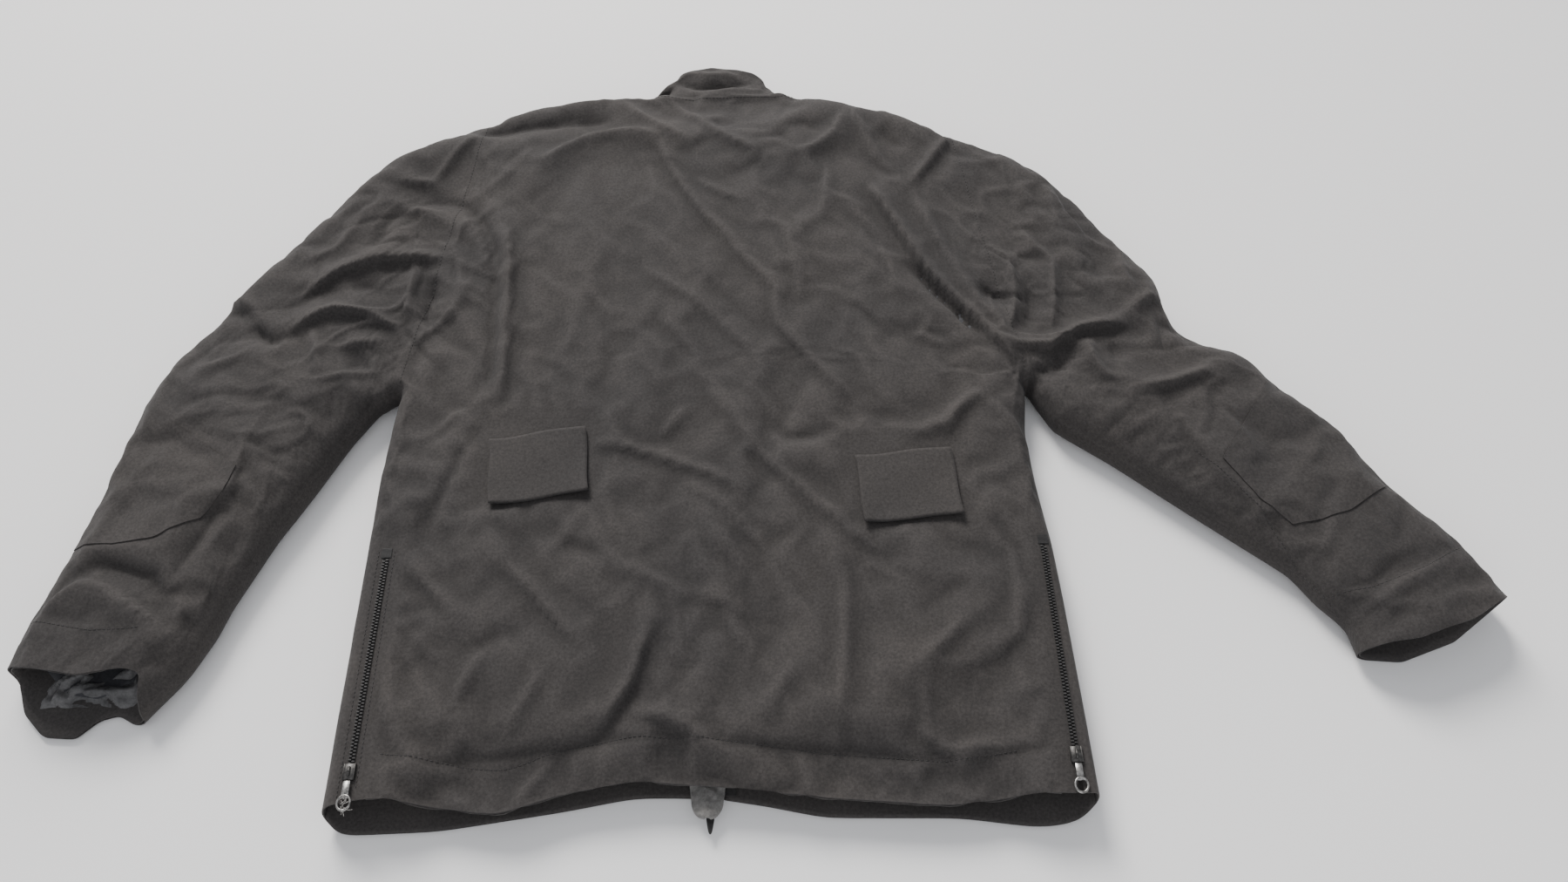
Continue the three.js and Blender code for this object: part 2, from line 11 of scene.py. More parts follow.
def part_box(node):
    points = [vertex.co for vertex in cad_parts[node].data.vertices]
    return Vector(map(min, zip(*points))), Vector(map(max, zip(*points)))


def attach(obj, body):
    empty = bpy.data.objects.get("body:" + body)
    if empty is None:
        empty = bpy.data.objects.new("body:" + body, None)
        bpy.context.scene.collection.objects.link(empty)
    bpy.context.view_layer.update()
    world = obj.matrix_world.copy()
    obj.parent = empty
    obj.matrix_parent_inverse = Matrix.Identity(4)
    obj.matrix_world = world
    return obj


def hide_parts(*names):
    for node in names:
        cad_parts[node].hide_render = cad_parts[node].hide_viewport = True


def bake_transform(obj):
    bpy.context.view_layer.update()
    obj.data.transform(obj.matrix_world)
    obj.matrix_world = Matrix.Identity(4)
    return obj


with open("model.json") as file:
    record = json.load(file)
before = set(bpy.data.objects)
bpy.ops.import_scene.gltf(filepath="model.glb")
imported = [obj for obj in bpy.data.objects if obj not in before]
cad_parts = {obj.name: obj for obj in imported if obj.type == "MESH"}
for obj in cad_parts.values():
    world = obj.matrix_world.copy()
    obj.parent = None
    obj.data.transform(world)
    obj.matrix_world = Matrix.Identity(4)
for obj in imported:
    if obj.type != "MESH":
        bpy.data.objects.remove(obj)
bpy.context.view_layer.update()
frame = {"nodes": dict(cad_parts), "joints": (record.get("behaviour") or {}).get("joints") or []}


# ---------------------------------------------------------------- floor, lights and camera
# A plain pale floor and soft studio light from above and behind the collar.
# The viewer stands at the hem and looks down on the back of the jacket.

def plain_material(name, colour, roughness=0.8, metal=0.0, grain=None):
    material = bpy.data.materials.new(name)
    material.use_nodes = True
    shader = material.node_tree.nodes["Principled BSDF"]
    shader.inputs["Base Color"].default_value = (*colour, 1.0)
    shader.inputs["Roughness"].default_value = roughness
    shader.inputs["Metallic"].default_value = metal
    if grain:
        tree = material.node_tree
        place = tree.nodes.new("ShaderNodeTexCoord")
        uneven = tree.nodes.new("ShaderNodeTexNoise")
        uneven.inputs["Scale"].default_value = grain
        uneven.inputs["Detail"].default_value = 4.0
        tree.links.new(place.outputs["Object"], uneven.inputs["Vector"])
        tones = tree.nodes.new("ShaderNodeValToRGB")
        tones.color_ramp.elements[0].position = 0.32
        tones.color_ramp.elements[0].color = (*(0.6 * c for c in colour), 1.0)
        tones.color_ramp.elements[1].position = 0.68
        tones.color_ramp.elements[1].color = (*(1.4 * c for c in colour), 1.0)
        tree.links.new(uneven.outputs["Fac"], tones.inputs["Fac"])
        tree.links.new(tones.outputs["Color"], shader.inputs["Base Color"])
        polish = tree.nodes.new("ShaderNodeMapRange")
        polish.inputs["To Min"].default_value = max(0.05, roughness - 0.12)
        polish.inputs["To Max"].default_value = min(1.0, roughness + 0.12)
        tree.links.new(uneven.outputs["Fac"], polish.inputs["Value"])
        tree.links.new(polish.outputs["Result"], shader.inputs["Roughness"])
    return material


def finished(name, bm, material=None):
    mesh = bpy.data.meshes.new(name)
    bm.to_mesh(mesh)
    bm.free()
    piece = bpy.data.objects.new(name, mesh)
    bpy.context.scene.collection.objects.link(piece)
    if material is not None:
        mesh.materials.append(material)
    return piece


floor_mesh = bmesh.new()
bmesh.ops.create_grid(floor_mesh, x_segments=1, y_segments=1, size=8.0)
bmesh.ops.translate(floor_mesh, verts=floor_mesh.verts, vec=(0, 0, -0.0004))
finished("floor", floor_mesh, plain_material("pale_floor", (0.95, 0.94, 0.93), 0.9))


def softbox(name, place, aim, width, watts, colour):
    lamp = bpy.data.lights.new(name, "AREA")
    lamp.shape = "RECTANGLE"
    lamp.size = width
    lamp.size_y = width
    lamp.energy = watts
    lamp.color = colour
    holder = bpy.data.objects.new(name, lamp)
    holder.location = place
    holder.rotation_euler = (Vector(aim) - Vector(place)).to_track_quat("-Z", "Y").to_euler()
    bpy.context.scene.collection.objects.link(holder)


softbox("key_light", (-0.45, 1.45, 0.95), (-0.05, 0.10, 0), 0.8, 16, (1.0, 0.965, 0.93))
softbox("fill_light", (-0.10, -1.35, 0.60), (-0.05, -0.25, 0), 1.1, 4.5, (0.95, 0.97, 1.0))

sky = bpy.data.lights.new("window_light", "SUN")
sky.energy = 3.3
sky.angle = math.radians(22)
sky.color = (1.0, 0.985, 0.965)
window = bpy.data.objects.new("window_light", sky)
window.rotation_euler = Vector((0.32, -0.80, -0.62)).to_track_quat("-Z", "Y").to_euler()
bpy.context.scene.collection.objects.link(window)

world = bpy.data.worlds.new("studio")
bpy.context.scene.world = world
world.use_nodes = True
world.node_tree.nodes["Background"].inputs["Color"].default_value = (0.93, 0.95, 1.0, 1.0)
world.node_tree.nodes["Background"].inputs["Strength"].default_value = 0.60

lens = bpy.data.cameras.new("camera")
lens.sensor_width = 36.0
lens.lens = 27.7
camera = bpy.data.objects.new("camera", lens)
camera.location = (-0.001, -0.641, 0.90)
camera.rotation_euler = (math.radians(90 - 57.5), 0.0, math.radians(-1.4))
bpy.context.scene.collection.objects.link(camera)
bpy.context.scene.camera = camera


# ---------------------------------------------------------------- the cut and lay of the shell
# The shell is cut in plain-woven waxed cotton: back, two side panels, two fronts, two-piece
# sleeves and a stand collar. Here every cutting line is drawn as it lies, from the centre
# back line and the underarm, and the seamed shell is laid out as one skin.

back_low, back_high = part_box("back_panel")
CENTRE_LINE = (back_low.x + back_high.x) / 2
NECK_LINE = 0.384
LAY = Vector((CENTRE_LINE, back_high.y - NECK_LINE, 0.0))

SEAM_STEP = 0.0062
EDGE_STEP = 0.0026


def run_along(points, shares):
    """Points at these shares of a line's length, with its corners eased."""
    line = np.array(points, float)
    run = np.concatenate([[0.0], np.cumsum(np.linalg.norm(np.diff(line, axis=0), axis=1))])
    even = np.linspace(0, run[-1], 161)
    dense = np.column_stack([np.interp(even, run, line[:, k]) for k in (0, 1)])
    for _ in range(14):
        dense[1:-1] = 0.5 * dense[1:-1] + 0.25 * (dense[:-2] + dense[2:])
    run = np.concatenate([[0.0], np.cumsum(np.linalg.norm(np.diff(dense, axis=0), axis=1))])
    at = np.array(shares) * run[-1]
    return np.column_stack([np.interp(at, run, dense[:, k]) for k in (0, 1)])


def graded(length, fine_start, fine_end, step=SEAM_STEP):
    """Shares of a length in even steps, with a few finer ones where the cloth rolls over."""
    middle = length - EDGE_STEP * (fine_start + fine_end)
    count = round(middle / step)
    steps = [EDGE_STEP] * fine_start + [middle / count] * count + [EDGE_STEP] * fine_end
    return np.concatenate([[0.0], np.cumsum(steps)]) / length


BACK_HEM = [(-0.286, -0.352), (-0.270, -0.3475), (-0.245, -0.3445), (-0.2246, -0.3465), (-0.1555, -0.357),
            (-0.115, -0.3435), (-0.058, -0.335), (-0.025, -0.338), (0.0235, -0.3425), (0.08, -0.350),
            (0.17, -0.3577), (0.2227, -0.3526), (0.281, -0.3540)]
FRONT_HEM = [(-0.286, -0.352), (-0.279, -0.3635), (-0.203, -0.362), (-0.112, -0.350), (-0.06, -0.341),
             (0.0, -0.343), (0.04, -0.350), (0.08, -0.359), (0.18, -0.3615), (0.238, -0.3700),
             (0.268, -0.3665), (0.281, -0.3540)]
SHOULDERS = [(-0.235, 0.353), (-0.187, 0.371), (-0.137, 0.380), (-0.077, 0.384), (0.084, 0.384),
             (0.13, 0.371), (0.188, 0.352), (0.2355, 0.326)]
LEFT_SIDE = [(-0.286, -0.352), (-0.286, -0.15), (-0.2865, -0.08), (-0.282, 0.012)]
LEFT_ARMHOLE = [(-0.282, 0.012), (-0.235, 0.353)]
RIGHT_SIDE = [(0.281, -0.354), (0.280, -0.30), (0.2775, -0.20), (0.275, -0.145), (0.2705, -0.095),
              (0.268, -0.04), (0.275, 0.008)]
RIGHT_ARMHOLE = [(0.275, 0.008), (0.2355, 0.326)]

LEFT_OUTER = [(-0.235, 0.353), (-0.287, 0.321), (-0.328, 0.290), (-0.362, 0.245), (-0.399, 0.191),
              (-0.441, 0.128), (-0.452, 0.095), (-0.487, 0.045), (-0.502, 0.005)]
LEFT_OUTER_CUFF = [(-0.502, 0.005), (-0.506, -0.03), (-0.515, -0.097), (-0.525, -0.147), (-0.541, -0.205),
                   (-0.545, -0.238)]
LEFT_INNER = [(-0.282, 0.012), (-0.299, 0.001), (-0.318, -0.031), (-0.341, -0.08), (-0.352, -0.102)]
LEFT_INNER_CUFF = [(-0.352, -0.102), (-0.363, -0.123), (-0.388, -0.185), (-0.394, -0.208),
                   (-0.410, -0.244), (-0.434, -0.276)]
LEFT_CUFF_TOP = [(-0.434, -0.276), (-0.436, -0.262), (-0.436, -0.246), (-0.448, -0.243), (-0.480, -0.249),
                 (-0.545, -0.238)]
LEFT_CUFF_UNDER = [(-0.434, -0.276), (-0.446, -0.276), (-0.460, -0.268), (-0.474, -0.272), (-0.4885, -0.286),
                   (-0.513, -0.284), (-0.532, -0.266), (-0.545, -0.238)]
RIGHT_OUTER = [(0.2355, 0.326), (0.255, 0.312), (0.288, 0.291), (0.313, 0.270), (0.347, 0.228),
               (0.372, 0.1825), (0.397, 0.145), (0.411, 0.124), (0.413, 0.09), (0.4175, 0.062),
               (0.443, 0.046), (0.4686, 0.040), (0.490, 0.010)]
RIGHT_OUTER_CUFF = [(0.490, 0.010), (0.508, -0.011), (0.538, -0.045), (0.564, -0.100), (0.605, -0.152),
                    (0.630, -0.2043)]
RIGHT_INNER = [(0.275, 0.008), (0.294, -0.031), (0.340, -0.067), (0.397, -0.117)]
RIGHT_INNER_CUFF = [(0.397, -0.117), (0.466, -0.176), (0.482, -0.203), (0.499, -0.222), (0.502, -0.245)]
RIGHT_CUFF_TOP = [(0.502, -0.245), (0.541, -0.2437), (0.588, -0.2287), (0.630, -0.2043)]
RIGHT_CUFF_UNDER = [(0.502, -0.245), (0.541, -0.2487), (0.588, -0.2327), (0.630, -0.2043)]
COLLAR_LEFT = [(-0.077, 0.384), (-0.062, 0.402), (-0.046, 0.421)]
COLLAR_RIGHT = [(0.084, 0.384), (0.063, 0.393), (0.050, 0.408)]
COLLAR_TOP = [(-0.046, 0.421), (-0.030, 0.431), (-0.010, 0.435), (0.018, 0.431), (0.036, 0.424),
              (0.050, 0.408)]

# columns across the body: fine at the rolled sides, with a slot for each vent zip
left_zip_x, right_zip_x = (
    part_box(side + "_vent_" + half + "_chain")[at].x - CENTRE_LINE
    for side, half, at in (("left", "outer", 1), ("right", "outer", 0))
)
SLOT_HALF = 0.0019
body_left, body_right = BACK_HEM[0][0], BACK_HEM[-1][0]
stops = [body_left, left_zip_x - SLOT_HALF, left_zip_x + SLOT_HALF, -0.0050, 0.0050,
         right_zip_x - SLOT_HALF, right_zip_x + SLOT_HALF, body_right]
across_at = [body_left]
for i in range(len(stops) - 1):
    gap = stops[i + 1] - stops[i]
    step = EDGE_STEP if i in (0, 6) else 0.0085 if i in (1, 3, 5) else SEAM_STEP
    count = max(1, round(gap / step))
    across_at += list(stops[i] + gap * np.arange(1, count + 1) / count)
across_at = np.array(across_at)
BODY_ACROSS = (across_at - body_left) / (body_right - body_left)

vent_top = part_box("left_vent_outer_chain")[1].y - LAY.y
HEM_DEPTH = 0.352
HEM_TO_UNDERARM = 0.364
UNDERARM_TO_SHOULDER = 0.341
HEM_TO_SHOULDER = 0.705
hem_to_vent = graded(vent_top + HEM_DEPTH, 2, 0)
vent_to_pit = graded(0.012 - vent_top, 0, 2)
PIT_ROW = len(hem_to_vent) + len(vent_to_pit) - 2
VENT_ROW = len(hem_to_vent) - 1
pit_to_shoulder = graded(0.344, 4, 5)
side_shares = np.concatenate([
    hem_to_vent * (vent_top + HEM_DEPTH) / HEM_TO_UNDERARM,
    (vent_top + HEM_DEPTH + vent_to_pit[1:] * (0.012 - vent_top)) / HEM_TO_UNDERARM,
])
body_shares = np.concatenate([
    side_shares * HEM_TO_UNDERARM,
    HEM_TO_UNDERARM + pit_to_shoulder[1:] * UNDERARM_TO_SHOULDER,
]) / HEM_TO_SHOULDER

PARTS = ["back", "left_side", "right_side", "left_front", "right_front", "left_upper", "right_upper",
         "left_forearm", "right_forearm", "collar", "slot"]


def sheet_of(bm, place, shares_across, shares_along, part_of, outward_up=True):
    """One flat sheet of the lay, as a grid whose points are then moved to their place."""
    wide, long = len(shares_across), len(shares_along)
    made = bmesh.new()
    bmesh.ops.create_grid(made, x_segments=wide - 1, y_segments=long - 1, size=0.5)
    part = made.faces.layers.int.new("part")
    row = made.faces.layers.int.new("row")
    under = made.faces.layers.int.new("under")
    weave = made.loops.layers.uv.new("weave")
    index = {}
    for v in made.verts:
        index[v] = (round((v.co.x + 0.5) * (wide - 1)), round((v.co.y + 0.5) * (long - 1)))
    points = place(shares_across, shares_along)
    for v in made.verts:
        i, j = index[v]
        v.co = (points[j, i, 0], points[j, i, 1], 0.0 if outward_up else -1.0)
    for f in made.faces:
        i = min(index[v][0] for v in f.verts)
        j = min(index[v][1] for v in f.verts)
        f[part] = PARTS.index(part_of(i, j))
        f[row] = j
        f[under] = 0 if outward_up else 1
        for loop in f.loops:
            loop[weave].uv = loop.vert.co.xy * (1 if outward_up else 1.003)
    made.normal_update()
    facing = sum(f.normal.z * f.calc_area() for f in made.faces)
    if (facing > 0) != outward_up:
        bmesh.ops.reverse_faces(made, faces=made.faces)
    scrap = bpy.data.meshes.new("scrap")
    made.to_mesh(scrap)
    made.free()
    bm.from_mesh(scrap)
    bpy.data.meshes.remove(scrap)


def coons(start, end, left, right):
    """Fills four edge lines that meet at their ends."""
    def place(across, along):
        u, v = across[None, :, None], along[:, None, None]
        s, e, l, r = start[None], end[None], left[:, None], right[:, None]
        corner = ((1 - u) * (1 - v) * start[0] + u * (1 - v) * start[-1]
                  + (1 - u) * v * end[0] + u * v * end[-1])
        return (1 - v) * s + v * e + (1 - u) * l + u * r - corner
    return place


def pinned_body(hem):
    """The body's fill, with its columns held on the zips: these run straight up from the hem."""
    fill = coons(hem, shoulder_line, left_edge, right_edge)

    def place(across, along):
        points = fill(across, along)
        for j in range(len(along)):
            free = min(1.0, max(0.0, (j - VENT_ROW) / (PIT_ROW - VENT_ROW)))
            hold = 1 - free * free * (3 - 2 * free)
            loose_at = np.interp(stops, across_at, points[j, :, 0])
            held_at = hold * np.array(stops) + (1 - hold) * loose_at
            held_at[0], held_at[-1] = left_edge[j, 0], right_edge[j, 0]
            held_at[3:5] = stops[3:5]
            points[j, :, 0] = np.interp(across_at, stops, held_at)
        return points
    return place


def edge_over(points, xs):
    """A hem or shoulder line's points above these stations across the body."""
    line = run_along(points, np.linspace(0, 1, 200))
    return np.column_stack([xs, np.interp(xs, line[:, 0], line[:, 1])])


def shoulder_stations():
    left, right = SHOULDERS[0][0], SHOULDERS[-1][0]
    at_stops = left + (right - left) * (np.array(stops) - body_left) / (body_right - body_left)
    at_stops[3:5] = stops[3:5]
    return np.interp(across_at, stops, at_stops)


left_edge = np.vstack([run_along(LEFT_SIDE, side_shares), run_along(LEFT_ARMHOLE, pit_to_shoulder)[1:]])
right_edge = np.vstack([run_along(RIGHT_SIDE, side_shares), run_along(RIGHT_ARMHOLE, pit_to_shoulder)[1:]])
back_hem_line = edge_over(BACK_HEM, across_at)
front_hem_line = edge_over(FRONT_HEM, across_at)
shoulder_line = edge_over(SHOULDERS, shoulder_stations())
for line in (back_hem_line, front_hem_line):
    line[0], line[-1] = left_edge[0], right_edge[0]
shoulder_line[0], shoulder_line[-1] = left_edge[-1], right_edge[-1]

middle_x = (across_at[:-1] + across_at[1:]) / 2


def body_part(under):
    def name(i, j):
        x = middle_x[i]
        if under:
            if j < PIT_ROW and x < -0.231:
                return "left_side"
            if j < PIT_ROW and x > 0.231:
                return "right_side"
            if abs(x) < 0.003:
                return "slot"
            return "left_front" if x < 0 else "right_front"
        if j < VENT_ROW and min(abs(x - left_zip_x), abs(x - right_zip_x)) < SLOT_HALF:
            return "slot"
        if j < PIT_ROW and x < left_zip_x:
            return "left_side"
        if j < PIT_ROW and x > right_zip_x:
            return "right_side"
        return "back"
    return name


skin = bmesh.new()
for under in (False, True):
    hem = front_hem_line if under else back_hem_line
    sheet_of(skin, pinned_body(hem),
             BODY_ACROSS, body_shares, body_part(under), not under)


def sleeve_run(armhole, inner, inner_cuff, outer, outer_cuff, cuff_top, cuff_under, upper, forearm):
    """A sleeve from the armhole to the cuff, in an upper and an under layer, split at the elbow."""
    elbow_rows, cuff_rows = 62, 34
    upper_shares = np.linspace(0, 1, elbow_rows + 1)
    cuff_shares = np.linspace(0, 1, cuff_rows + 1)
    inner_edge = np.vstack([run_along(inner, upper_shares), run_along(inner_cuff, cuff_shares)[1:]])
    outer_edge = np.vstack([run_along(outer, upper_shares), run_along(outer_cuff, cuff_shares)[1:]])
    start = run_along(armhole, pit_to_shoulder)
    along = np.concatenate([upper_shares * 0.64, 0.64 + cuff_shares[1:] * 0.36])
    for is_under, cuff in ((False, cuff_top), (True, cuff_under)):
        end = run_along(cuff, pit_to_shoulder)
        sheet_of(skin, coons(start, end, inner_edge, outer_edge), pit_to_shoulder, along,
                 lambda i, j: upper if j < elbow_rows else forearm, not is_under)
    return inner_edge, outer_edge


left_inner_edge, left_outer_edge = sleeve_run(
    LEFT_ARMHOLE, LEFT_INNER, LEFT_INNER_CUFF, LEFT_OUTER, LEFT_OUTER_CUFF,
    LEFT_CUFF_TOP, LEFT_CUFF_UNDER, "left_upper", "left_forearm")
right_inner_edge, right_outer_edge = sleeve_run(
    RIGHT_ARMHOLE, RIGHT_INNER, RIGHT_INNER_CUFF, RIGHT_OUTER, RIGHT_OUTER_CUFF,
    RIGHT_CUFF_TOP, RIGHT_CUFF_UNDER, "right_upper", "right_forearm")

neck = [k for k in range(len(across_at)) if SHOULDERS[3][0] - 1e-4 <= shoulder_line[k, 0] <= SHOULDERS[4][0]]
neck_line = shoulder_line[neck[0]:neck[-1] + 1]
neck_shares = (neck_line[:, 0] - neck_line[0, 0]) / (neck_line[-1, 0] - neck_line[0, 0])
collar_rows = np.linspace(0, 1, 13)
COLLAR_LEFT[0], COLLAR_RIGHT[0] = tuple(neck_line[0]), tuple(neck_line[-1])
collar_left_edge = run_along(COLLAR_LEFT, collar_rows)
collar_right_edge = run_along(COLLAR_RIGHT, collar_rows)
collar_top_line = run_along(COLLAR_TOP, neck_shares)
for is_under in (False, True):
    sheet_of(skin, coons(neck_line, collar_top_line, collar_left_edge, collar_right_edge),
             neck_shares, collar_rows, lambda i, j: "collar", not is_under)


# ---------------------------------------------------------------- how high the cloth lies
# Face down on the floor the body is a soft envelope about as thick as its padding, and the
# padded sleeves stand a little higher. Outer edges roll over; hem, cuffs and neck stay open.

EDGE_HEIGHT = 0.0125
edge_runs = [
    left_edge[:PIT_ROW + 1], left_inner_edge, left_outer_edge, shoulder_line[:neck[0] + 1],
    right_edge[:PIT_ROW + 1], right_inner_edge, right_outer_edge, shoulder_line[neck[-1]:],
    collar_left_edge, collar_right_edge,
]


def distance_to(points, line):
    """Each point's distance to a drawn line, how far along it is, and on which side."""
    line = np.array(line, float)
    best = np.full(len(points), 1e9)
    along = np.zeros(len(points))
    side = np.ones(len(points))
    lengths = np.linalg.norm(np.diff(line, axis=0), axis=1)
    total = lengths.sum()
    done = 0.0
    for a, b, length in zip(line[:-1], line[1:], lengths):
        if length < 1e-9:
            continue
        d = (b - a) / length
        rel = points - a
        t = np.clip(rel @ d, 0, length)
        off = rel - t[:, None] * d
        dist = np.hypot(off[:, 0], off[:, 1])
        near = dist < best
        best[near] = dist[near]
        along[near] = (done + t[near]) / total
        side[near] = np.where(d[0] * rel[near, 1] - d[1] * rel[near, 0] >= 0, 1.0, -1.0)
        done += length
    return best, along, side


def ease(x, low, high):
    t = np.clip((x - low) / (high - low), 0, 1)
    return t * t * (3 - 2 * t)


def beyond_armhole(points):
    """How far a point lies out on a sleeve from its armhole seam, negative on the body."""
    left = np.array(LEFT_ARMHOLE)
    right = np.array(RIGHT_ARMHOLE)
    out = []
    for (a, b), sign in ((left, 1.0), (right, -1.0)):
        d = (b - a) / np.linalg.norm(b - a)
        out.append(sign * (d[0] * (points[:, 1] - a[1]) - d[1] * (points[:, 0] - a[0])))
    return out


def flap_seat(x, y):
    """The flat places round the two back flaps, with room above each top seam for its fold."""
    seat = np.zeros(len(x))
    for cx, cy in ((-0.153, -0.064), (0.157, -0.090)):
        seat = np.maximum(seat, 1 - ease(np.maximum(np.abs(x - cx) / 1.15, np.abs(y - cy)), 0.034, 0.056))
    return seat


def crown(points):
    """Height of the upper layer over the floor, before any fold."""
    x, y = points[:, 0], points[:, 1]
    out_left, out_right = beyond_armhole(points)
    out = np.maximum(out_left, out_right)
    out = np.where(y < -0.02, np.where(np.abs(x) > 0.30, 0.2, out), out)
    sleeve = ease(out, 0.0, 0.075)
    body = 0.0335 + 0.0030 * (1 - ease(np.abs(x), 0.12, 0.25))
    body -= 0.0125 * (1 - ease(y, -0.350, -0.285)) * (1 - ease(np.abs(x), 0.200, 0.242))
    vent = 1 - ease(y, vent_top, vent_top + 0.04)
    zip_near = np.minimum(np.abs(x - left_zip_x), np.abs(x - right_zip_x))
    body -= 0.0014 * vent * (1 - ease(zip_near, 0.004, 0.014))
    body -= 0.0018 * flap_seat(x, y)
    far = np.hypot(x, y - 0.13)
    arm = 0.0455 - 0.004 * ease(far, 0.38, 0.62)
    height = body * (1 - sleeve) + arm * sleeve
    neck_rise = np.exp(-((x - 0.003) / 0.085) ** 2) * ease(y, 0.30, 0.384)
    height = height * (1 - neck_rise) + 0.0265 * neck_rise
    height = np.where(y > 0.384, 0.0265 - 0.10 * (y - 0.384), height)
    lift = 1.0
    for k, line in enumerate(edge_runs):
        d = distance_to(points, line[::2] if len(line) > 30 else line)[0]
        if k in (0, 4):
            reach = 0.0150 - (0.0075 * vent if k == 4 else 0.0)
        elif k in (1, 5):
            reach = 0.014 + 0.040 * sleeve
        elif k in (2, 6):
            reach = np.full(len(d), 0.026)
        elif k in (8, 9):
            reach = np.full(len(d), 0.009)
        else:
            reach = np.full(len(d), 0.020)
        t = np.clip(1 - d / reach, 0, 1)
        lift = lift * np.sqrt(np.clip(1 - t * t, 0, 1))
    return EDGE_HEIGHT + (height - EDGE_HEIGHT) * lift, lift


def bed(points):
    """Height of the under layer, which lies on the floor and turns up at the rolled edges."""
    lift = 1.0
    for line in edge_runs:
        d = distance_to(points, line[::2] if len(line) > 30 else line)[0]
        t = np.clip(1 - d / 0.013, 0, 1)
        lift = lift * np.sqrt(np.clip(1 - t * t, 0, 1))
    return EDGE_HEIGHT + (0.0016 - EDGE_HEIGHT) * lift, lift


# ---------------------------------------------------------------- folds and creases
# Waxed cotton creases sharply and keeps its folds. Each fold is its height in millimetres,
# its reach to the left and right of its run, and the run itself; a hollow has a minus.

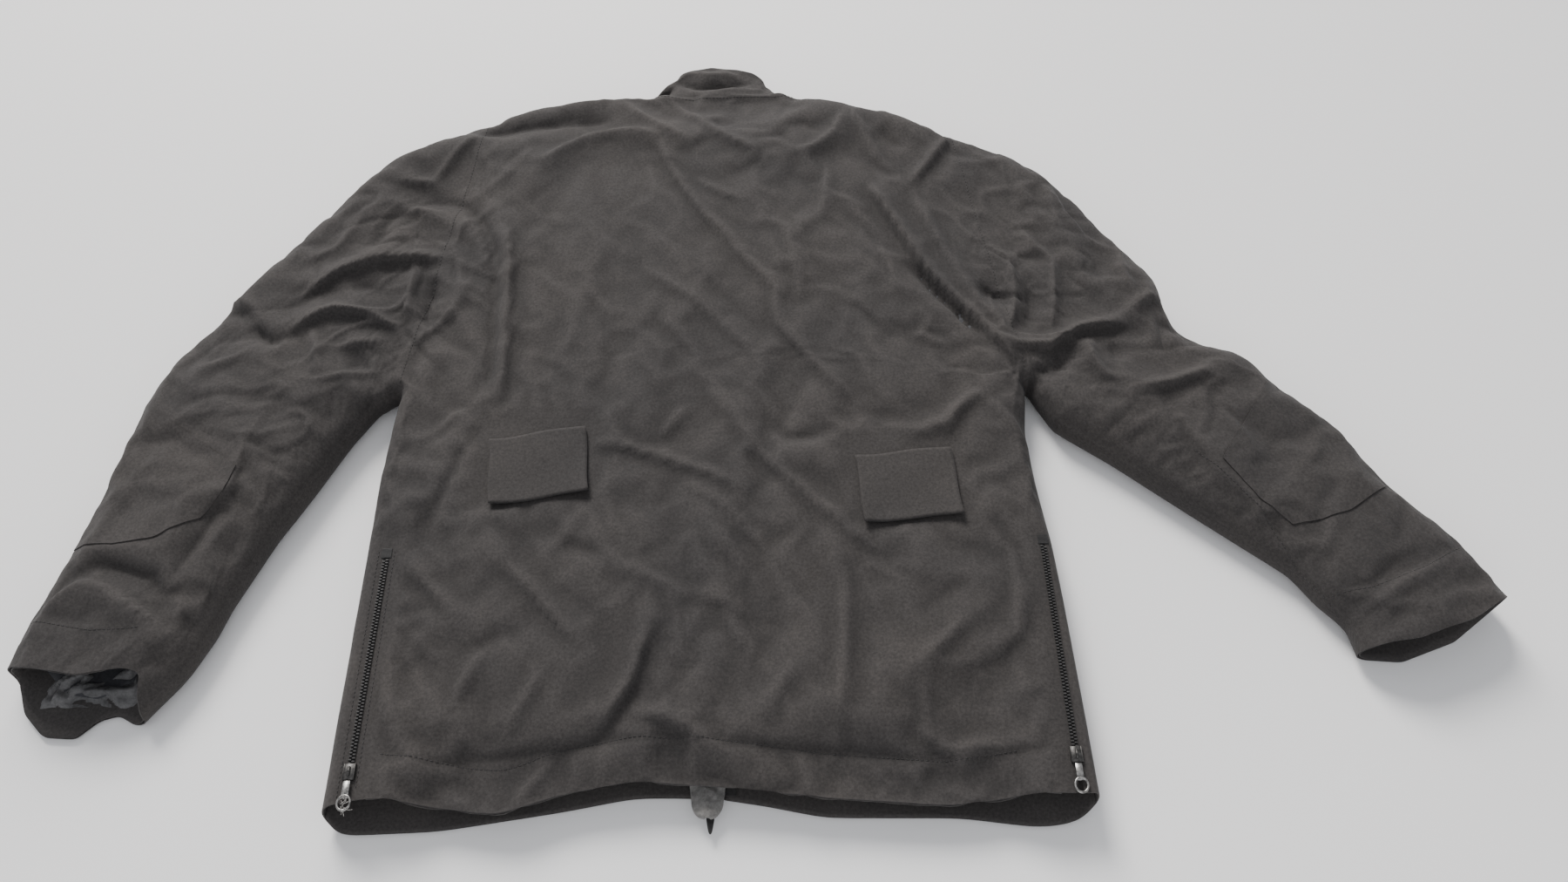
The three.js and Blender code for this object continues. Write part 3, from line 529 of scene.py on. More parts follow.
FOLDS = [
    # across the shoulders and below the collar
    (4.5, 7, 20, [(-0.176, 0.276), (-0.150, 0.300), (-0.128, 0.312), (-0.100, 0.320), (-0.052, 0.312)]),
    (-4.5, 15, 15, [(-0.25, 0.318), (-0.19, 0.333), (-0.14, 0.338), (-0.10, 0.342)]),
    (3.0, 9, 5, [(-0.104, 0.368), (-0.065, 0.330), (-0.024, 0.300)]),
    (2.8, 9, 5, [(-0.052, 0.376), (-0.004, 0.316), (0.044, 0.284)]),
    (-5.0, 18, 18, [(0.072, 0.338), (0.092, 0.324), (0.108, 0.312)]),
    (-3.5, 16, 16, [(-0.005, 0.345), (0.010, 0.325)]),
    (4.5, 6, 14, [(0.070, 0.284), (0.095, 0.293), (0.116, 0.312), (0.132, 0.352)]),
    (4.0, 8, 7, [(0.132, 0.352), (0.148, 0.305), (0.160, 0.272), (0.176, 0.260)]),
    (5.0, 5, 12, [(0.236, 0.314), (0.210, 0.275), (0.184, 0.240)]),
    (-4.0, 15, 15, [(0.160, 0.322), (0.185, 0.290)]),
    # long creases that run down from the collar to the right side
    (3.2, 13, 4, [(-0.060, 0.308), (-0.048, 0.268), (-0.012, 0.204), (0.020, 0.164)]),
    (3.0, 13, 4, [(0.010, 0.172), (0.052, 0.116), (0.054, 0.072), (0.092, 0.020), (0.125, -0.015)]),
    (2.2, 10, 4, [(-0.028, 0.262), (0.000, 0.238), (0.034, 0.220)]),
    (2.6, 12, 4, [(-0.076, 0.148), (-0.050, 0.124), (-0.020, 0.100), (0.008, 0.070), (0.032, 0.040)]),
    (2.2, 10, 4, [(-0.116, 0.116), (-0.103, 0.096), (-0.092, 0.078)]),
    (2.4, 10, 4, [(-0.056, 0.092), (-0.034, 0.062), (-0.012, 0.032)]),
    (2.4, 8, 4, [(0.064, 0.202), (0.071, 0.160), (0.076, 0.098)]),
    (2.4, 8, 4, [(0.108, 0.270), (0.105, 0.236), (0.100, 0.198)]),
    (2.4, 8, 4, [(0.120, 0.236), (0.134, 0.206), (0.150, 0.176)]),
    (2.2, 8, 4, [(0.150, 0.174), (0.160, 0.142), (0.168, 0.108)]),
    (-2.2, 16, 16, [(-0.020, 0.140), (0.010, 0.100), (0.050, 0.050)]),
    # the pleat behind each armhole
    (8.0, 16, 3.5, [(0.146, 0.246), (0.162, 0.206), (0.176, 0.176), (0.192, 0.140), (0.216, 0.106),
                    (0.240, 0.074), (0.266, 0.024)]),
    (-7.0, 9, 9, [(0.180, 0.150), (0.200, 0.116), (0.222, 0.088), (0.243, 0.056)]),
    (5.0, 8, 7, [(0.190, 0.232), (0.208, 0.176), (0.228, 0.124), (0.262, 0.058)]),
    (3.0, 8, 4, [(0.196, 0.082), (0.182, 0.062), (0.210, 0.046)]),
    (7.0, 4, 20, [(-0.200, 0.200), (-0.1925, 0.150), (-0.190, 0.100), (-0.187, 0.045), (-0.188, -0.010)]),
    (-5.5, 10, 10, [(-0.214, 0.180), (-0.206, 0.120), (-0.202, 0.050), (-0.200, 0.000)]),
    (-4.0, 10, 14, [(-0.192, -0.010), (-0.216, -0.056), (-0.233, -0.113), (-0.241, -0.150)]),
    (4.0, 7, 9, [(-0.246, 0.218), (-0.222, 0.170), (-0.200, 0.126)]),
    (4.0, 7, 9, [(-0.226, 0.150), (-0.240, 0.100), (-0.278, 0.056)]),
    # small of the back, down to the hem
    (2.6, 8, 5, [(-0.214, -0.008), (-0.231, -0.022), (-0.246, -0.036)]),
    (4.0, 12, 4, [(-0.256, -0.148), (-0.232, -0.174), (-0.212, -0.194), (-0.198, -0.212)]),
    (4.0, 12, 4, [(-0.168, -0.160), (-0.135, -0.198), (-0.108, -0.230)]),
    (3.4, 5, 10, [(-0.174, -0.228), (-0.186, -0.256), (-0.198, -0.282)]),
    (3.4, 10, 5, [(-0.254, -0.205), (-0.250, -0.262), (-0.232, -0.312)]),
    (3.2, 5, 10, [(-0.126, -0.242), (-0.142, -0.275), (-0.158, -0.306)]),
    (-4.5, 26, 26, [(-0.130, -0.142), (-0.085, -0.156)]),
    (5.0, 5, 12, [(-0.050, -0.210), (-0.058, -0.240), (-0.064, -0.262), (-0.090, -0.302)]),
    (5.0, 12, 5, [(-0.062, -0.286), (-0.025, -0.296), (0.010, -0.320)]),
    (-4.0, 18, 18, [(-0.050, -0.312), (-0.015, -0.322)]),
    (3.4, 12, 5, [(-0.104, -0.046), (-0.050, -0.062), (-0.009, -0.080), (0.030, -0.102)]),
    (3.0, 12, 5, [(-0.028, -0.090), (0.007, -0.113), (0.042, -0.152)]),
    (-4.5, 12, 12, [(0.036, -0.026), (0.064, -0.048), (0.108, -0.040)]),
    (3.6, 14, 5, [(-0.008, 0.006), (0.040, -0.068), (0.080, -0.109), (0.136, -0.160)]),
    (2.6, 7, 5, [(-0.026, -0.010), (-0.050, -0.046)]),
    (5.0, 5, 12, [(0.232, 0.000), (0.2065, -0.023), (0.192, -0.050)]),
    (2.8, 6, 10, [(0.206, -0.032), (0.156, -0.052)]),
    (3.4, 8, 5, [(0.230, -0.004), (0.250, -0.030), (0.270, -0.060)]),
    (3.0, 10, 5, [(-0.012, -0.126), (0.0275, -0.176)]),
    (2.8, 10, 6, [(-0.020, -0.188), (0.026, -0.207)]),
    (3.0, 8, 5, [(0.009, -0.210), (0.032, -0.246)]),
    (2.6, 10, 6, [(-0.074, -0.166), (-0.027, -0.191)]),
    (3.6, 9, 6, [(0.101, -0.188), (0.098, -0.243), (0.092, -0.300)]),
    (2.8, 6, 9, [(0.198, -0.214), (0.155, -0.254)]),
    (2.6, 8, 6, [(0.240, -0.172), (0.234, -0.240)]),
    (4.0, 12, 6, [(0.146, -0.298), (0.174, -0.320), (0.218, -0.316)]),
    (3.0, 6, 10, [(0.060, -0.246), (0.040, -0.290)]),
    (-3.5, 24, 24, [(0.030, -0.250), (0.062, -0.200)]),
    (-3.0, 22, 22, [(0.150, -0.215), (0.205, -0.180)]),
    (-3.0, 20, 20, [(-0.200, -0.240), (-0.150, -0.215)]),
    (3.0, 8, 10, [(-0.226, -0.300), (-0.214, -0.344)]),
    (3.4, 9, 9, [(-0.118, -0.318), (-0.150, -0.356)]),
    (-3.0, 14, 14, [(-0.180, -0.345), (-0.186, -0.300)]),
    (3.0, 9, 9, [(0.060, -0.318), (0.072, -0.350)]),
    # left sleeve
    (6.0, 7, 12, [(-0.236, 0.326), (-0.262, 0.286), (-0.276, 0.252), (-0.318, 0.250)]),
    (-4.0, 9, 9, [(-0.323, 0.160), (-0.312, 0.202), (-0.284, 0.228), (-0.248, 0.232), (-0.222, 0.199),
                  (-0.204, 0.146)]),
    (5.0, 10, 10, [(-0.302, 0.218), (-0.276, 0.214), (-0.252, 0.196)]),
    (8.0, 20, 5, [(-0.380, 0.106), (-0.3456, 0.137), (-0.318, 0.150), (-0.292, 0.157), (-0.250, 0.159)]),
    (-9.0, 11, 11, [(-0.262, 0.142), (-0.263, 0.112), (-0.266, 0.078)]),
    (6.0, 6, 6, [(-0.281, 0.152), (-0.282, 0.118), (-0.284, 0.082)]),
    (-5.0, 12, 12, [(-0.345, 0.118), (-0.318, 0.122), (-0.298, 0.118)]),
    (7.0, 12, 5, [(-0.386, 0.066), (-0.350, 0.092), (-0.310, 0.0875), (-0.280, 0.072)]),
    (5.0, 6, 8, [(-0.3635, 0.078), (-0.352, 0.048), (-0.3456, 0.018)]),
    (4.5, 9, 5, [(-0.340, 0.050), (-0.314, 0.058), (-0.290, 0.062)]),
    (-9.0, 9, 9, [(-0.416, 0.078), (-0.400, 0.064), (-0.384, 0.054)]),
    (5.5, 12, 6, [(-0.452, 0.108), (-0.430, 0.106), (-0.408, 0.088)]),
    (-4.0, 10, 10, [(-0.440, 0.094), (-0.418, 0.088)]),
    (3.5, 8, 8, [(-0.335, 0.205), (-0.352, 0.170), (-0.385, 0.145)]),
    (-4.0, 14, 14, [(-0.326, 0.030), (-0.304, 0.040)]),
    (3.5, 8, 6, [(-0.318, 0.020), (-0.306, -0.004)]),
    (4.0, 5, 22, [(-0.3635, 0.016), (-0.386, -0.010), (-0.395, -0.050), (-0.399, -0.087), (-0.417, -0.118)]),
    (-5.0, 9, 12, [(-0.403, -0.094), (-0.412, -0.130), (-0.428, -0.172)]),
    (-3.0, 14, 14, [(-0.500, -0.046), (-0.457, -0.042), (-0.417, -0.069)]),
    (6.5, 5, 20, [(-0.526, -0.212), (-0.512, -0.186), (-0.4975, -0.1715), (-0.457, -0.192),
                  (-0.422, -0.214)]),
    (-6.0, 10, 10, [(-0.506, -0.160), (-0.476, -0.160), (-0.444, -0.172), (-0.424, -0.196)]),
    (-5.0, 9, 9, [(-0.416, -0.196), (-0.404, -0.216)]),
    (-3.0, 10, 10, [(-0.384, -0.120), (-0.394, -0.160)]),
    # right sleeve
    (-8.0, 11, 11, [(0.240, 0.126), (0.256, 0.108), (0.272, 0.092)]),
    (5.0, 7, 7, [(0.249, 0.170), (0.272, 0.147), (0.273, 0.104), (0.262, 0.055)]),
    (5.5, 7, 7, [(0.284, 0.194), (0.294, 0.160), (0.311, 0.142), (0.304, 0.090), (0.297, 0.050)]),
    (-5.0, 10, 10, [(0.288, 0.130), (0.287, 0.092), (0.282, 0.062)]),
    (9.0, 16, 4, [(0.256, 0.048), (0.2937, 0.040), (0.3236, 0.057), (0.3406, 0.059), (0.372, 0.061)]),
    (-8.0, 10, 10, [(0.275, 0.022), (0.300, 0.018), (0.320, 0.034)]),
    (7.0, 7, 6, [(0.330, 0.056), (0.330, 0.025), (0.339, 0.002), (0.360, -0.006)]),
    (-5.0, 10, 10, [(0.352, 0.042), (0.352, 0.020)]),
    (6.0, 12, 6, [(0.358, -0.010), (0.392, -0.007), (0.426, 0.006), (0.438, -0.004)]),
    (5.0, 5, 12, [(0.312, 0.236), (0.330, 0.196), (0.346, 0.168), (0.372, 0.148)]),
    (-4.0, 12, 12, [(0.350, 0.142), (0.352, 0.108)]),
    (5.0, 8, 8, [(0.378, 0.158), (0.372, 0.120), (0.380, 0.084)]),
    (5.5, 10, 7, [(0.372, 0.076), (0.392, 0.092), (0.412, 0.094)]),
    (-5.0, 10, 10, [(0.392, 0.066), (0.418, 0.052)]),
    (4.0, 20, 5, [(0.398, -0.040), (0.409, -0.079), (0.443, -0.126), (0.4686, -0.1775), (0.496, -0.224)]),
    (3.0, 6, 8, [(0.514, -0.050), (0.497, -0.088)]),
    (-3.5, 16, 16, [(0.452, -0.030), (0.470, -0.070), (0.480, -0.110)]),
    (3.5, 7, 12, [(0.430, -0.030), (0.446, -0.060), (0.452, -0.096)]),
    (4.5, 6, 14, [(0.4985, -0.2245), (0.537, -0.199), (0.586, -0.176)]),
    (-4.0, 10, 10, [(0.515, -0.196), (0.552, -0.172)]),
    # seams and hem stitching press a narrow groove
    (-1.1, 2.6, 2.6, [(-0.246, -0.3135), (-0.190, -0.3190), (-0.130, -0.3125), (-0.060, -0.3030),
                      (0.0, -0.3070), (0.08, -0.3170), (0.16, -0.3240), (0.262, -0.3200)]),
    (-1.0, 2.2, 2.2, [(-0.3635, 0.016), (-0.386, -0.012), (-0.394, -0.040), (-0.396, -0.070)]),
    (-1.0, 2.2, 2.2, [(0.362, 0.0315), (0.400, 0.036), (0.443, 0.044)]),
    (-1.0, 2.2, 2.2, [(0.400, -0.045), (0.409, -0.079), (0.443, -0.126), (0.4686, -0.1775), (0.496, -0.224)]),
    (-1.0, 2.6, 2.6, [(-0.440, -0.206), (-0.480, -0.207), (-0.540, -0.197)]),
    (-1.0, 2.6, 2.6, [(0.478, -0.196), (0.516, -0.196), (0.560, -0.182), (0.600, -0.160)]),
    # collar
    (-7.0, 6, 6, [(-0.070, 0.3875), (-0.056, 0.393), (-0.046, 0.404)]),
    (-4.5, 8, 6, [(-0.046, 0.412), (-0.020, 0.400), (0.012, 0.403), (0.038, 0.411)]),
    (3.5, 7, 8, [(-0.040, 0.424), (-0.006, 0.420), (0.026, 0.420)]),
    (2.5, 7, 7, [(-0.020, 0.388), (0.020, 0.392), (0.052, 0.396)]),
]


def vent_mask(points):
    """The strip beside each vent zip stays flat, so that its slider can run."""
    x, y = points[:, 0], points[:, 1]
    near = np.minimum(np.abs(x - left_zip_x), np.abs(x - right_zip_x))
    flat = (1 - ease(near, 0.010, 0.024)) * (1 - ease(y, vent_top + 0.005, vent_top + 0.035))
    return 1 - np.maximum(flat, 0.90 * flap_seat(x, y))


FOLD_GAIN = 1.45


def fold_heights(points):
    total = np.zeros(len(points))
    for height, left, right, run in FOLDS:
        line = run_along(run, np.linspace(0, 1, 13))
        span = np.linalg.norm(np.diff(line, axis=0), axis=1).sum()
        low = line.min(0) - 0.09
        high = line.max(0) + 0.09
        inside = np.all((points > low) & (points < high), axis=1)
        if not inside.any():
            continue
        d, along, side = distance_to(points[inside], line)
        on_sleeve = abs(line[:, 0].mean()) > 0.235
        gain = 1.15 if on_sleeve else FOLD_GAIN
        width = np.where(side > 0, left, right) / 1000 * (0.85 if on_sleeve else 0.80)
        edge = np.sqrt(d * d + 0.0009 ** 2) - 0.0009
        end = np.minimum(along, 1 - along) * span
        taper = ease(end, -0.002, min(0.030, 0.42 * span))
        crest = np.exp(-((edge / width) ** 1.15))
        broad = 0.30 * np.exp(-((d / (2.6 * width + 0.004)) ** 2))
        total[inside] += gain * height / 1000 * taper * (crest * 1.12 - broad)
    return total


def crumple(around, seed, points):
    """Small random creases all over, most of them along the drag of the cloth."""
    dice = random.Random(seed)
    total = np.zeros(len(points))
    spots = []
    for _ in range(700):
        k = dice.randrange(len(around))
        x, y = around[k]
        if x < -0.29 and y < 0.3:
            lean = math.radians(12 if y > 0 else -8)
        elif x > 0.28 and y < 0.3:
            lean = math.radians(-30 if y > 0 else 38)
        else:
            lean = math.radians(-52 if y > -0.06 else -62)
        lean += dice.gauss(0, 0.55)
        length = dice.uniform(0.018, 0.075)
        spots.append((x, y, lean, length, dice.uniform(0.35, 1.35) * dice.choice((1, 1, -1)),
                      dice.uniform(3.0, 7.5), dice.uniform(3.0, 7.5)))
    for x, y, lean, length, height, left, right in spots:
        inside = (np.abs(points[:, 0] - x) < length) & (np.abs(points[:, 1] - y) < length)
        if not inside.any():
            continue
        bend = dice.gauss(0, 0.25)
        half = length / 2
        run = [(x - half * math.cos(lean - bend), y - half * math.sin(lean - bend)), (x, y),
               (x + half * math.cos(lean + bend), y + half * math.sin(lean + bend))]
        d, along, side = distance_to(points[inside], run)
        width = np.where(side > 0, left, right) / 1000
        taper = np.sin(np.pi * along) ** 0.8
        total[inside] += height / 1000 * taper * np.exp(-((d / width) ** 1.15))
    return total


bmesh.ops.remove_doubles(skin, verts=skin.verts, dist=1e-6)
skin.verts.index_update()
skin.verts.ensure_lookup_table()
place = np.array([v.co[:] for v in skin.verts])
is_under = place[:, 2] < -0.5
flat = place[:, :2]
top_height, top_lift = crown(flat)
folds = fold_heights(flat) + crumple(flat, 7, flat)
folds *= np.clip(top_lift * 1.25 - 0.15, 0, 1) * vent_mask(flat)
bed_height, bed_lift = bed(flat)
z = np.where(is_under, bed_height, top_height + folds)
rim = {False: {}, True: {}}
for v in skin.verts:
    if v.is_boundary:
        rim[bool(is_under[v.index])][round(v.co.x, 5), round(v.co.y, 5)] = v.index
for spot, k in rim[False].items():
    other = rim[True].get(spot)
    if other is not None and min(top_lift[k], bed_lift[other]) < 0.6:
        z[k] = z[other] = EDGE_HEIGHT
        top_lift[k] = folds[k] = 0.0
lay_x = skin.verts.layers.float.new("lay_x")
lay_y = skin.verts.layers.float.new("lay_y")
fold_z = skin.verts.layers.float.new("fold_z")
loose = skin.verts.layers.float.new("loose")
for v, height, fold, lift, hidden in zip(skin.verts, z, folds, top_lift, is_under):
    v[lay_x], v[lay_y] = v.co.x, v.co.y
    v[fold_z] = 0.0 if hidden else fold
    v[loose] = 0.0 if hidden else lift
    v.co.z = height
bmesh.ops.translate(skin, verts=skin.verts, vec=LAY)
bmesh.ops.remove_doubles(skin, verts=skin.verts, dist=2e-5)
slot_layer = skin.faces.layers.int["part"]
bmesh.ops.delete(skin, geom=[f for f in skin.faces if f[slot_layer] == PARTS.index("slot")], context="FACES")
shell = finished("shell_skin", skin)


def point_values(mesh, name, size=1):
    out = np.zeros(len(mesh.vertices) * size, np.float32)
    if name == "co":
        mesh.vertices.foreach_get("co", out)
        return out.reshape(-1, 3).astype(float)
    mesh.attributes[name].data.foreach_get("value", out)
    return out.astype(float)


def let_crumple(obj, growth, frames, cap):
    """The upper layer is a little longer than the space it lies in, so it buckles into creases."""
    held = obj.vertex_groups.new(name="held")
    loose_by = point_values(obj.data, "loose")
    flat_by = np.column_stack([point_values(obj.data, "lay_x"), point_values(obj.data, "lay_y")])
    loose_by = loose_by * vent_mask(flat_by)
    border = set()
    bm = bmesh.new()
    bm.from_mesh(obj.data)
    for v in bm.verts:
        if v.is_boundary:
            border.add(v.index)
    bm.free()
    for k, value in enumerate(loose_by):
        weight = 1.0 if value < 0.6 or k in border else 0.0
        if weight:
            held.add([k], weight, "REPLACE")
    before = point_values(obj.data, "co", 3)
    cloth = obj.modifiers.new("buckling", "CLOTH")
    cloth.settings.quality = 4
    cloth.settings.mass = 0.25
    cloth.settings.tension_stiffness = 18
    cloth.settings.compression_stiffness = 18
    cloth.settings.shear_stiffness = 8
    cloth.settings.bending_stiffness = 0.25
    cloth.settings.air_damping = 2.0
    cloth.settings.shrink_min = -growth
    cloth.settings.vertex_group_mass = "held"
    cloth.settings.effector_weights.gravity = 0.0
    cloth.collision_settings.use_collision = False
    cloth.collision_settings.use_self_collision = False
    cloth.point_cache.frame_start = 1
    cloth.point_cache.frame_end = frames
    scene = bpy.context.scene
    for number in range(1, frames + 1):
        scene.frame_set(number)
    moved = obj.evaluated_get(bpy.context.evaluated_depsgraph_get()).to_mesh()
    after = np.zeros(len(moved.vertices) * 3, np.float32)
    moved.vertices.foreach_get("co", after)
    after = after.reshape(-1, 3).astype(float)
    obj.evaluated_get(bpy.context.evaluated_depsgraph_get()).to_mesh_clear()
    obj.modifiers.remove(cloth)
    scene.frame_set(1)
    shift = after - before
    length = np.linalg.norm(shift, axis=1)
    shift *= np.minimum(1.0, cap / np.maximum(length, 1e-9))[:, None]
    obj.data.vertices.foreach_set("co", (before + shift).astype(np.float32).ravel())
    obj.data.update()
    return length


def rumples(points, loose_by):
    """Sharp little ridges: strong where the armholes bunch, slight over the padded back."""
    out = np.zeros(len(points))
    for k in np.flatnonzero(loose_by > 0.02):
        x, y = points[k]
        bunched = max(math.exp(-((x + 0.268) / 0.070) ** 2 - ((y - 0.110) / 0.120) ** 2),
                      math.exp(-((x - 0.275) / 0.075) ** 2 - ((y - 0.120) / 0.125) ** 2))
        if x < -0.285:
            lean, height = math.radians(20 if y > 0 else -20), 0.9
        elif x > 0.280:
            lean, height = math.radians(-30 if y > 0 else 42), 0.9
        else:
            lean, height = math.radians(-50 if y > -0.06 else -66), 0.55 + 0.45 * (y < -0.06)
        height = (1.1 * height + 2.9 * bunched) / 1000
        drift = 0.020 * noise.noise(Vector((x * 8, y * 8, 2.0)))
        run = x * math.cos(lean) + y * math.sin(lean)
        over = y * math.cos(lean) - x * math.sin(lean) + drift
        for scale, share, seat in ((1.0, 1.0, 5.0), (2.0, 0.42, 21.0)):
            ripple = noise.noise(Vector((run * 13 * scale, over * 30 * scale, seat)))
            patch = noise.noise(Vector((x * 11 * scale, y * 11 * scale, seat + 7)))
            shown = min(1.0, max(0.0, (abs(patch) - 0.07 + 0.12 * bunched) * 5.0))
            ridge = max(0.0, 1 - abs(ripple) / 0.16) ** 1.2
            out[k] += height * share * shown * (ridge if patch > 0 else -0.8 * ridge)
    return out * np.clip(loose_by * 1.6 - 0.2, 0, 1)


moved_by = let_crumple(shell, 0.024, 13, 0.006)
print("buckling moved points by", round(float(moved_by.mean()) * 1000, 2), "mm on average and",
      round(float(moved_by.max()) * 1000, 2), "mm at most")

inside = shell.data.copy()

rounding = shell.modifiers.new("rounding", "SUBSURF")
rounding.levels = 1
rounding.render_levels = 1
bpy.context.view_layer.objects.active = shell
bpy.ops.object.modifier_apply(modifier="rounding")

fine_flat = np.column_stack([point_values(shell.data, "lay_x"), point_values(shell.data, "lay_y")])
fine_loose = point_values(shell.data, "loose")
fine_place = point_values(shell.data, "co", 3)
sharper = (fold_heights(fine_flat) + crumple(flat, 7, fine_flat)) * vent_mask(fine_flat)
sharper *= np.clip(fine_loose * 1.25 - 0.15, 0, 1)
sharper += rumples(fine_flat, fine_loose) * vent_mask(fine_flat)
fine_place[:, 2] += np.where(fine_loose > 0.02, sharper - point_values(shell.data, "fold_z"), 0.0)
shell.data.vertices.foreach_set("co", fine_place.astype(np.float32).ravel())
shell.data.update()

ends = np.zeros(len(shell.data.edges) * 2, np.int32)
shell.data.edges.foreach_get("vertices", ends)
ends = ends.reshape(-1, 2)
share = np.maximum(1, np.bincount(ends.ravel(), minlength=len(fine_place)))
evened = fine_place[:, 2].copy()
for _ in range(9):
    total = np.bincount(ends[:, 0], weights=evened[ends[:, 1]], minlength=len(evened))
    total += np.bincount(ends[:, 1], weights=evened[ends[:, 0]], minlength=len(evened))
    evened = total / share
# proud is the height over the smoothed surface: the cloth is painted paler on crests, as rubbed wear, and
# darker in hollows, as painted shade.
proud = np.clip((fine_place[:, 2] - evened) / 0.0007, -1, 1) * (fine_loose > 0.3)
crest_wear_and_hollow_shade = shell.data.attributes.new("crest_wear_and_hollow_shade", "FLOAT", "POINT")
crest_wear_and_hollow_shade.data.foreach_set("value", proud.astype(np.float32))


# ---------------------------------------------------------------- the shell cloth
# Charcoal plain-woven waxed cotton: matt, a little uneven in its dye, paler where creases rub (wear) and
# darker in the hollows, which is painted shade.

def link(tree, out_node, out_name, in_node, in_name):
    tree.links.new(out_node.outputs[out_name], in_node.inputs[in_name])


def woven(name, pale, dark, thread=0.00075, roughness=0.82, sheen=0.06, relief=0.35, crease_depth=0.35):
    material = bpy.data.materials.new(name)
    material.use_nodes = True
    tree = material.node_tree
    shader = tree.nodes["Principled BSDF"]
    shader.inputs["Sheen Weight"].default_value = sheen
    shader.inputs["Sheen Roughness"].default_value = 0.45
    shader.inputs["Specular IOR Level"].default_value = 0.20
    place = tree.nodes.new("ShaderNodeTexCoord")
    blotch = tree.nodes.new("ShaderNodeTexNoise")
    blotch.inputs["Scale"].default_value = 9.0
    blotch.inputs["Detail"].default_value = 6.0
    blotch.inputs["Roughness"].default_value = 0.62
    link(tree, place, "Object", blotch, "Vector")
    fleck = tree.nodes.new("ShaderNodeTexNoise")
    fleck.inputs["Scale"].default_value = 430.0
    fleck.inputs["Detail"].default_value = 5.0
    fleck.inputs["Roughness"].default_value = 0.7
    link(tree, place, "Object", fleck, "Vector")
    heather = tree.nodes.new("ShaderNodeMapRange")
    heather.inputs["From Min"].default_value = 0.30
    heather.inputs["From Max"].default_value = 0.70
    link(tree, fleck, "Fac", heather, "Value")
    ramp = tree.nodes.new("ShaderNodeValToRGB")
    ramp.color_ramp.elements[0].position = 0.30
    ramp.color_ramp.elements[0].color = (*dark, 1.0)
    ramp.color_ramp.elements[1].position = 0.72
    ramp.color_ramp.elements[1].color = (*pale, 1.0)
    link(tree, blotch, "Fac", ramp, "Fac")
    tint = tree.nodes.new("ShaderNodeMixRGB")
    tint.blend_type = "OVERLAY"
    tint.inputs["Fac"].default_value = 0.32
    link(tree, ramp, "Color", tint, "Color1")
    link(tree, heather, "Result", tint, "Color2")
    # Scales the colour up on crests (rubbed wear) and down in hollows (painted shade).
    wear_and_shade_in = tree.nodes.new("ShaderNodeAttribute")
    wear_and_shade_in.attribute_name = "crest_wear_and_hollow_shade"
    wear_and_shade_factor = tree.nodes.new("ShaderNodeMath")
    wear_and_shade_factor.operation = "MULTIPLY_ADD"
    wear_and_shade_factor.inputs[1].default_value = 0.15
    wear_and_shade_factor.inputs[2].default_value = 1.0
    link(tree, wear_and_shade_in, "Fac", wear_and_shade_factor, 0)
    shade = tree.nodes.new("ShaderNodeVectorMath")
    shade.operation = "SCALE"
    link(tree, tint, "Color", shade, 0)
    link(tree, wear_and_shade_factor, "Value", shade, "Scale")
    link(tree, shade, "Vector", shader, "Base Color")
    dull = tree.nodes.new("ShaderNodeMapRange")
    dull.inputs["To Min"].default_value = roughness - 0.08
    dull.inputs["To Max"].default_value = roughness + 0.10
    link(tree, blotch, "Fac", dull, "Value")
    link(tree, dull, "Result", shader, "Roughness")
    uv = tree.nodes.new("ShaderNodeUVMap")
    uv.uv_map = "weave"
    threads = []
    for direction in ("X", "Y"):
        wave = tree.nodes.new("ShaderNodeTexWave")
        wave.wave_type = "BANDS"
        wave.bands_direction = direction
        wave.inputs["Scale"].default_value = 0.314 / thread
        wave.inputs["Distortion"].default_value = 0.6
        wave.inputs["Detail"].default_value = 1.0
        link(tree, uv, "UV", wave, "Vector")
        threads.append(wave)
    weave = tree.nodes.new("ShaderNodeMath")
    weave.operation = "MULTIPLY"
    link(tree, threads[0], "Fac", weave, 0)
    link(tree, threads[1], "Fac", weave, 1)
    coarse = tree.nodes.new("ShaderNodeTexNoise")
    coarse.inputs["Scale"].default_value = 95.0
    coarse.inputs["Detail"].default_value = 5.0
    link(tree, place, "Object", coarse, "Vector")
    crease = tree.nodes.new("ShaderNodeTexNoise")
    crease.noise_type = "RIDGED_MULTIFRACTAL"
    crease.inputs["Scale"].default_value = 26.0
    crease.inputs["Detail"].default_value = 3.0
    crease.inputs["Distortion"].default_value = 0.6
    link(tree, place, "Object", crease, "Vector")
    soft_crease = tree.nodes.new("ShaderNodeBump")
    soft_crease.inputs["Strength"].default_value = crease_depth
    soft_crease.inputs["Distance"].default_value = 0.0012
    link(tree, crease, "Fac", soft_crease, "Height")
    relief_mix = tree.nodes.new("ShaderNodeMath")
    relief_mix.operation = "MULTIPLY_ADD"
    relief_mix.inputs[1].default_value = 1.6
    link(tree, coarse, "Fac", relief_mix, 0)
    link(tree, weave, "Value", relief_mix, 2)
    bump = tree.nodes.new("ShaderNodeBump")
    bump.inputs["Strength"].default_value = relief
    bump.inputs["Distance"].default_value = 0.0006
    link(tree, relief_mix, "Value", bump, "Height")
    link(tree, soft_crease, "Normal", bump, "Normal")
    link(tree, bump, "Normal", shader, "Normal")
    return material


shell_cloth = woven("waxed_cotton", (0.052, 0.0468, 0.0440), (0.036, 0.0330, 0.0322))

CLOTH_THICKNESS = 0.0011


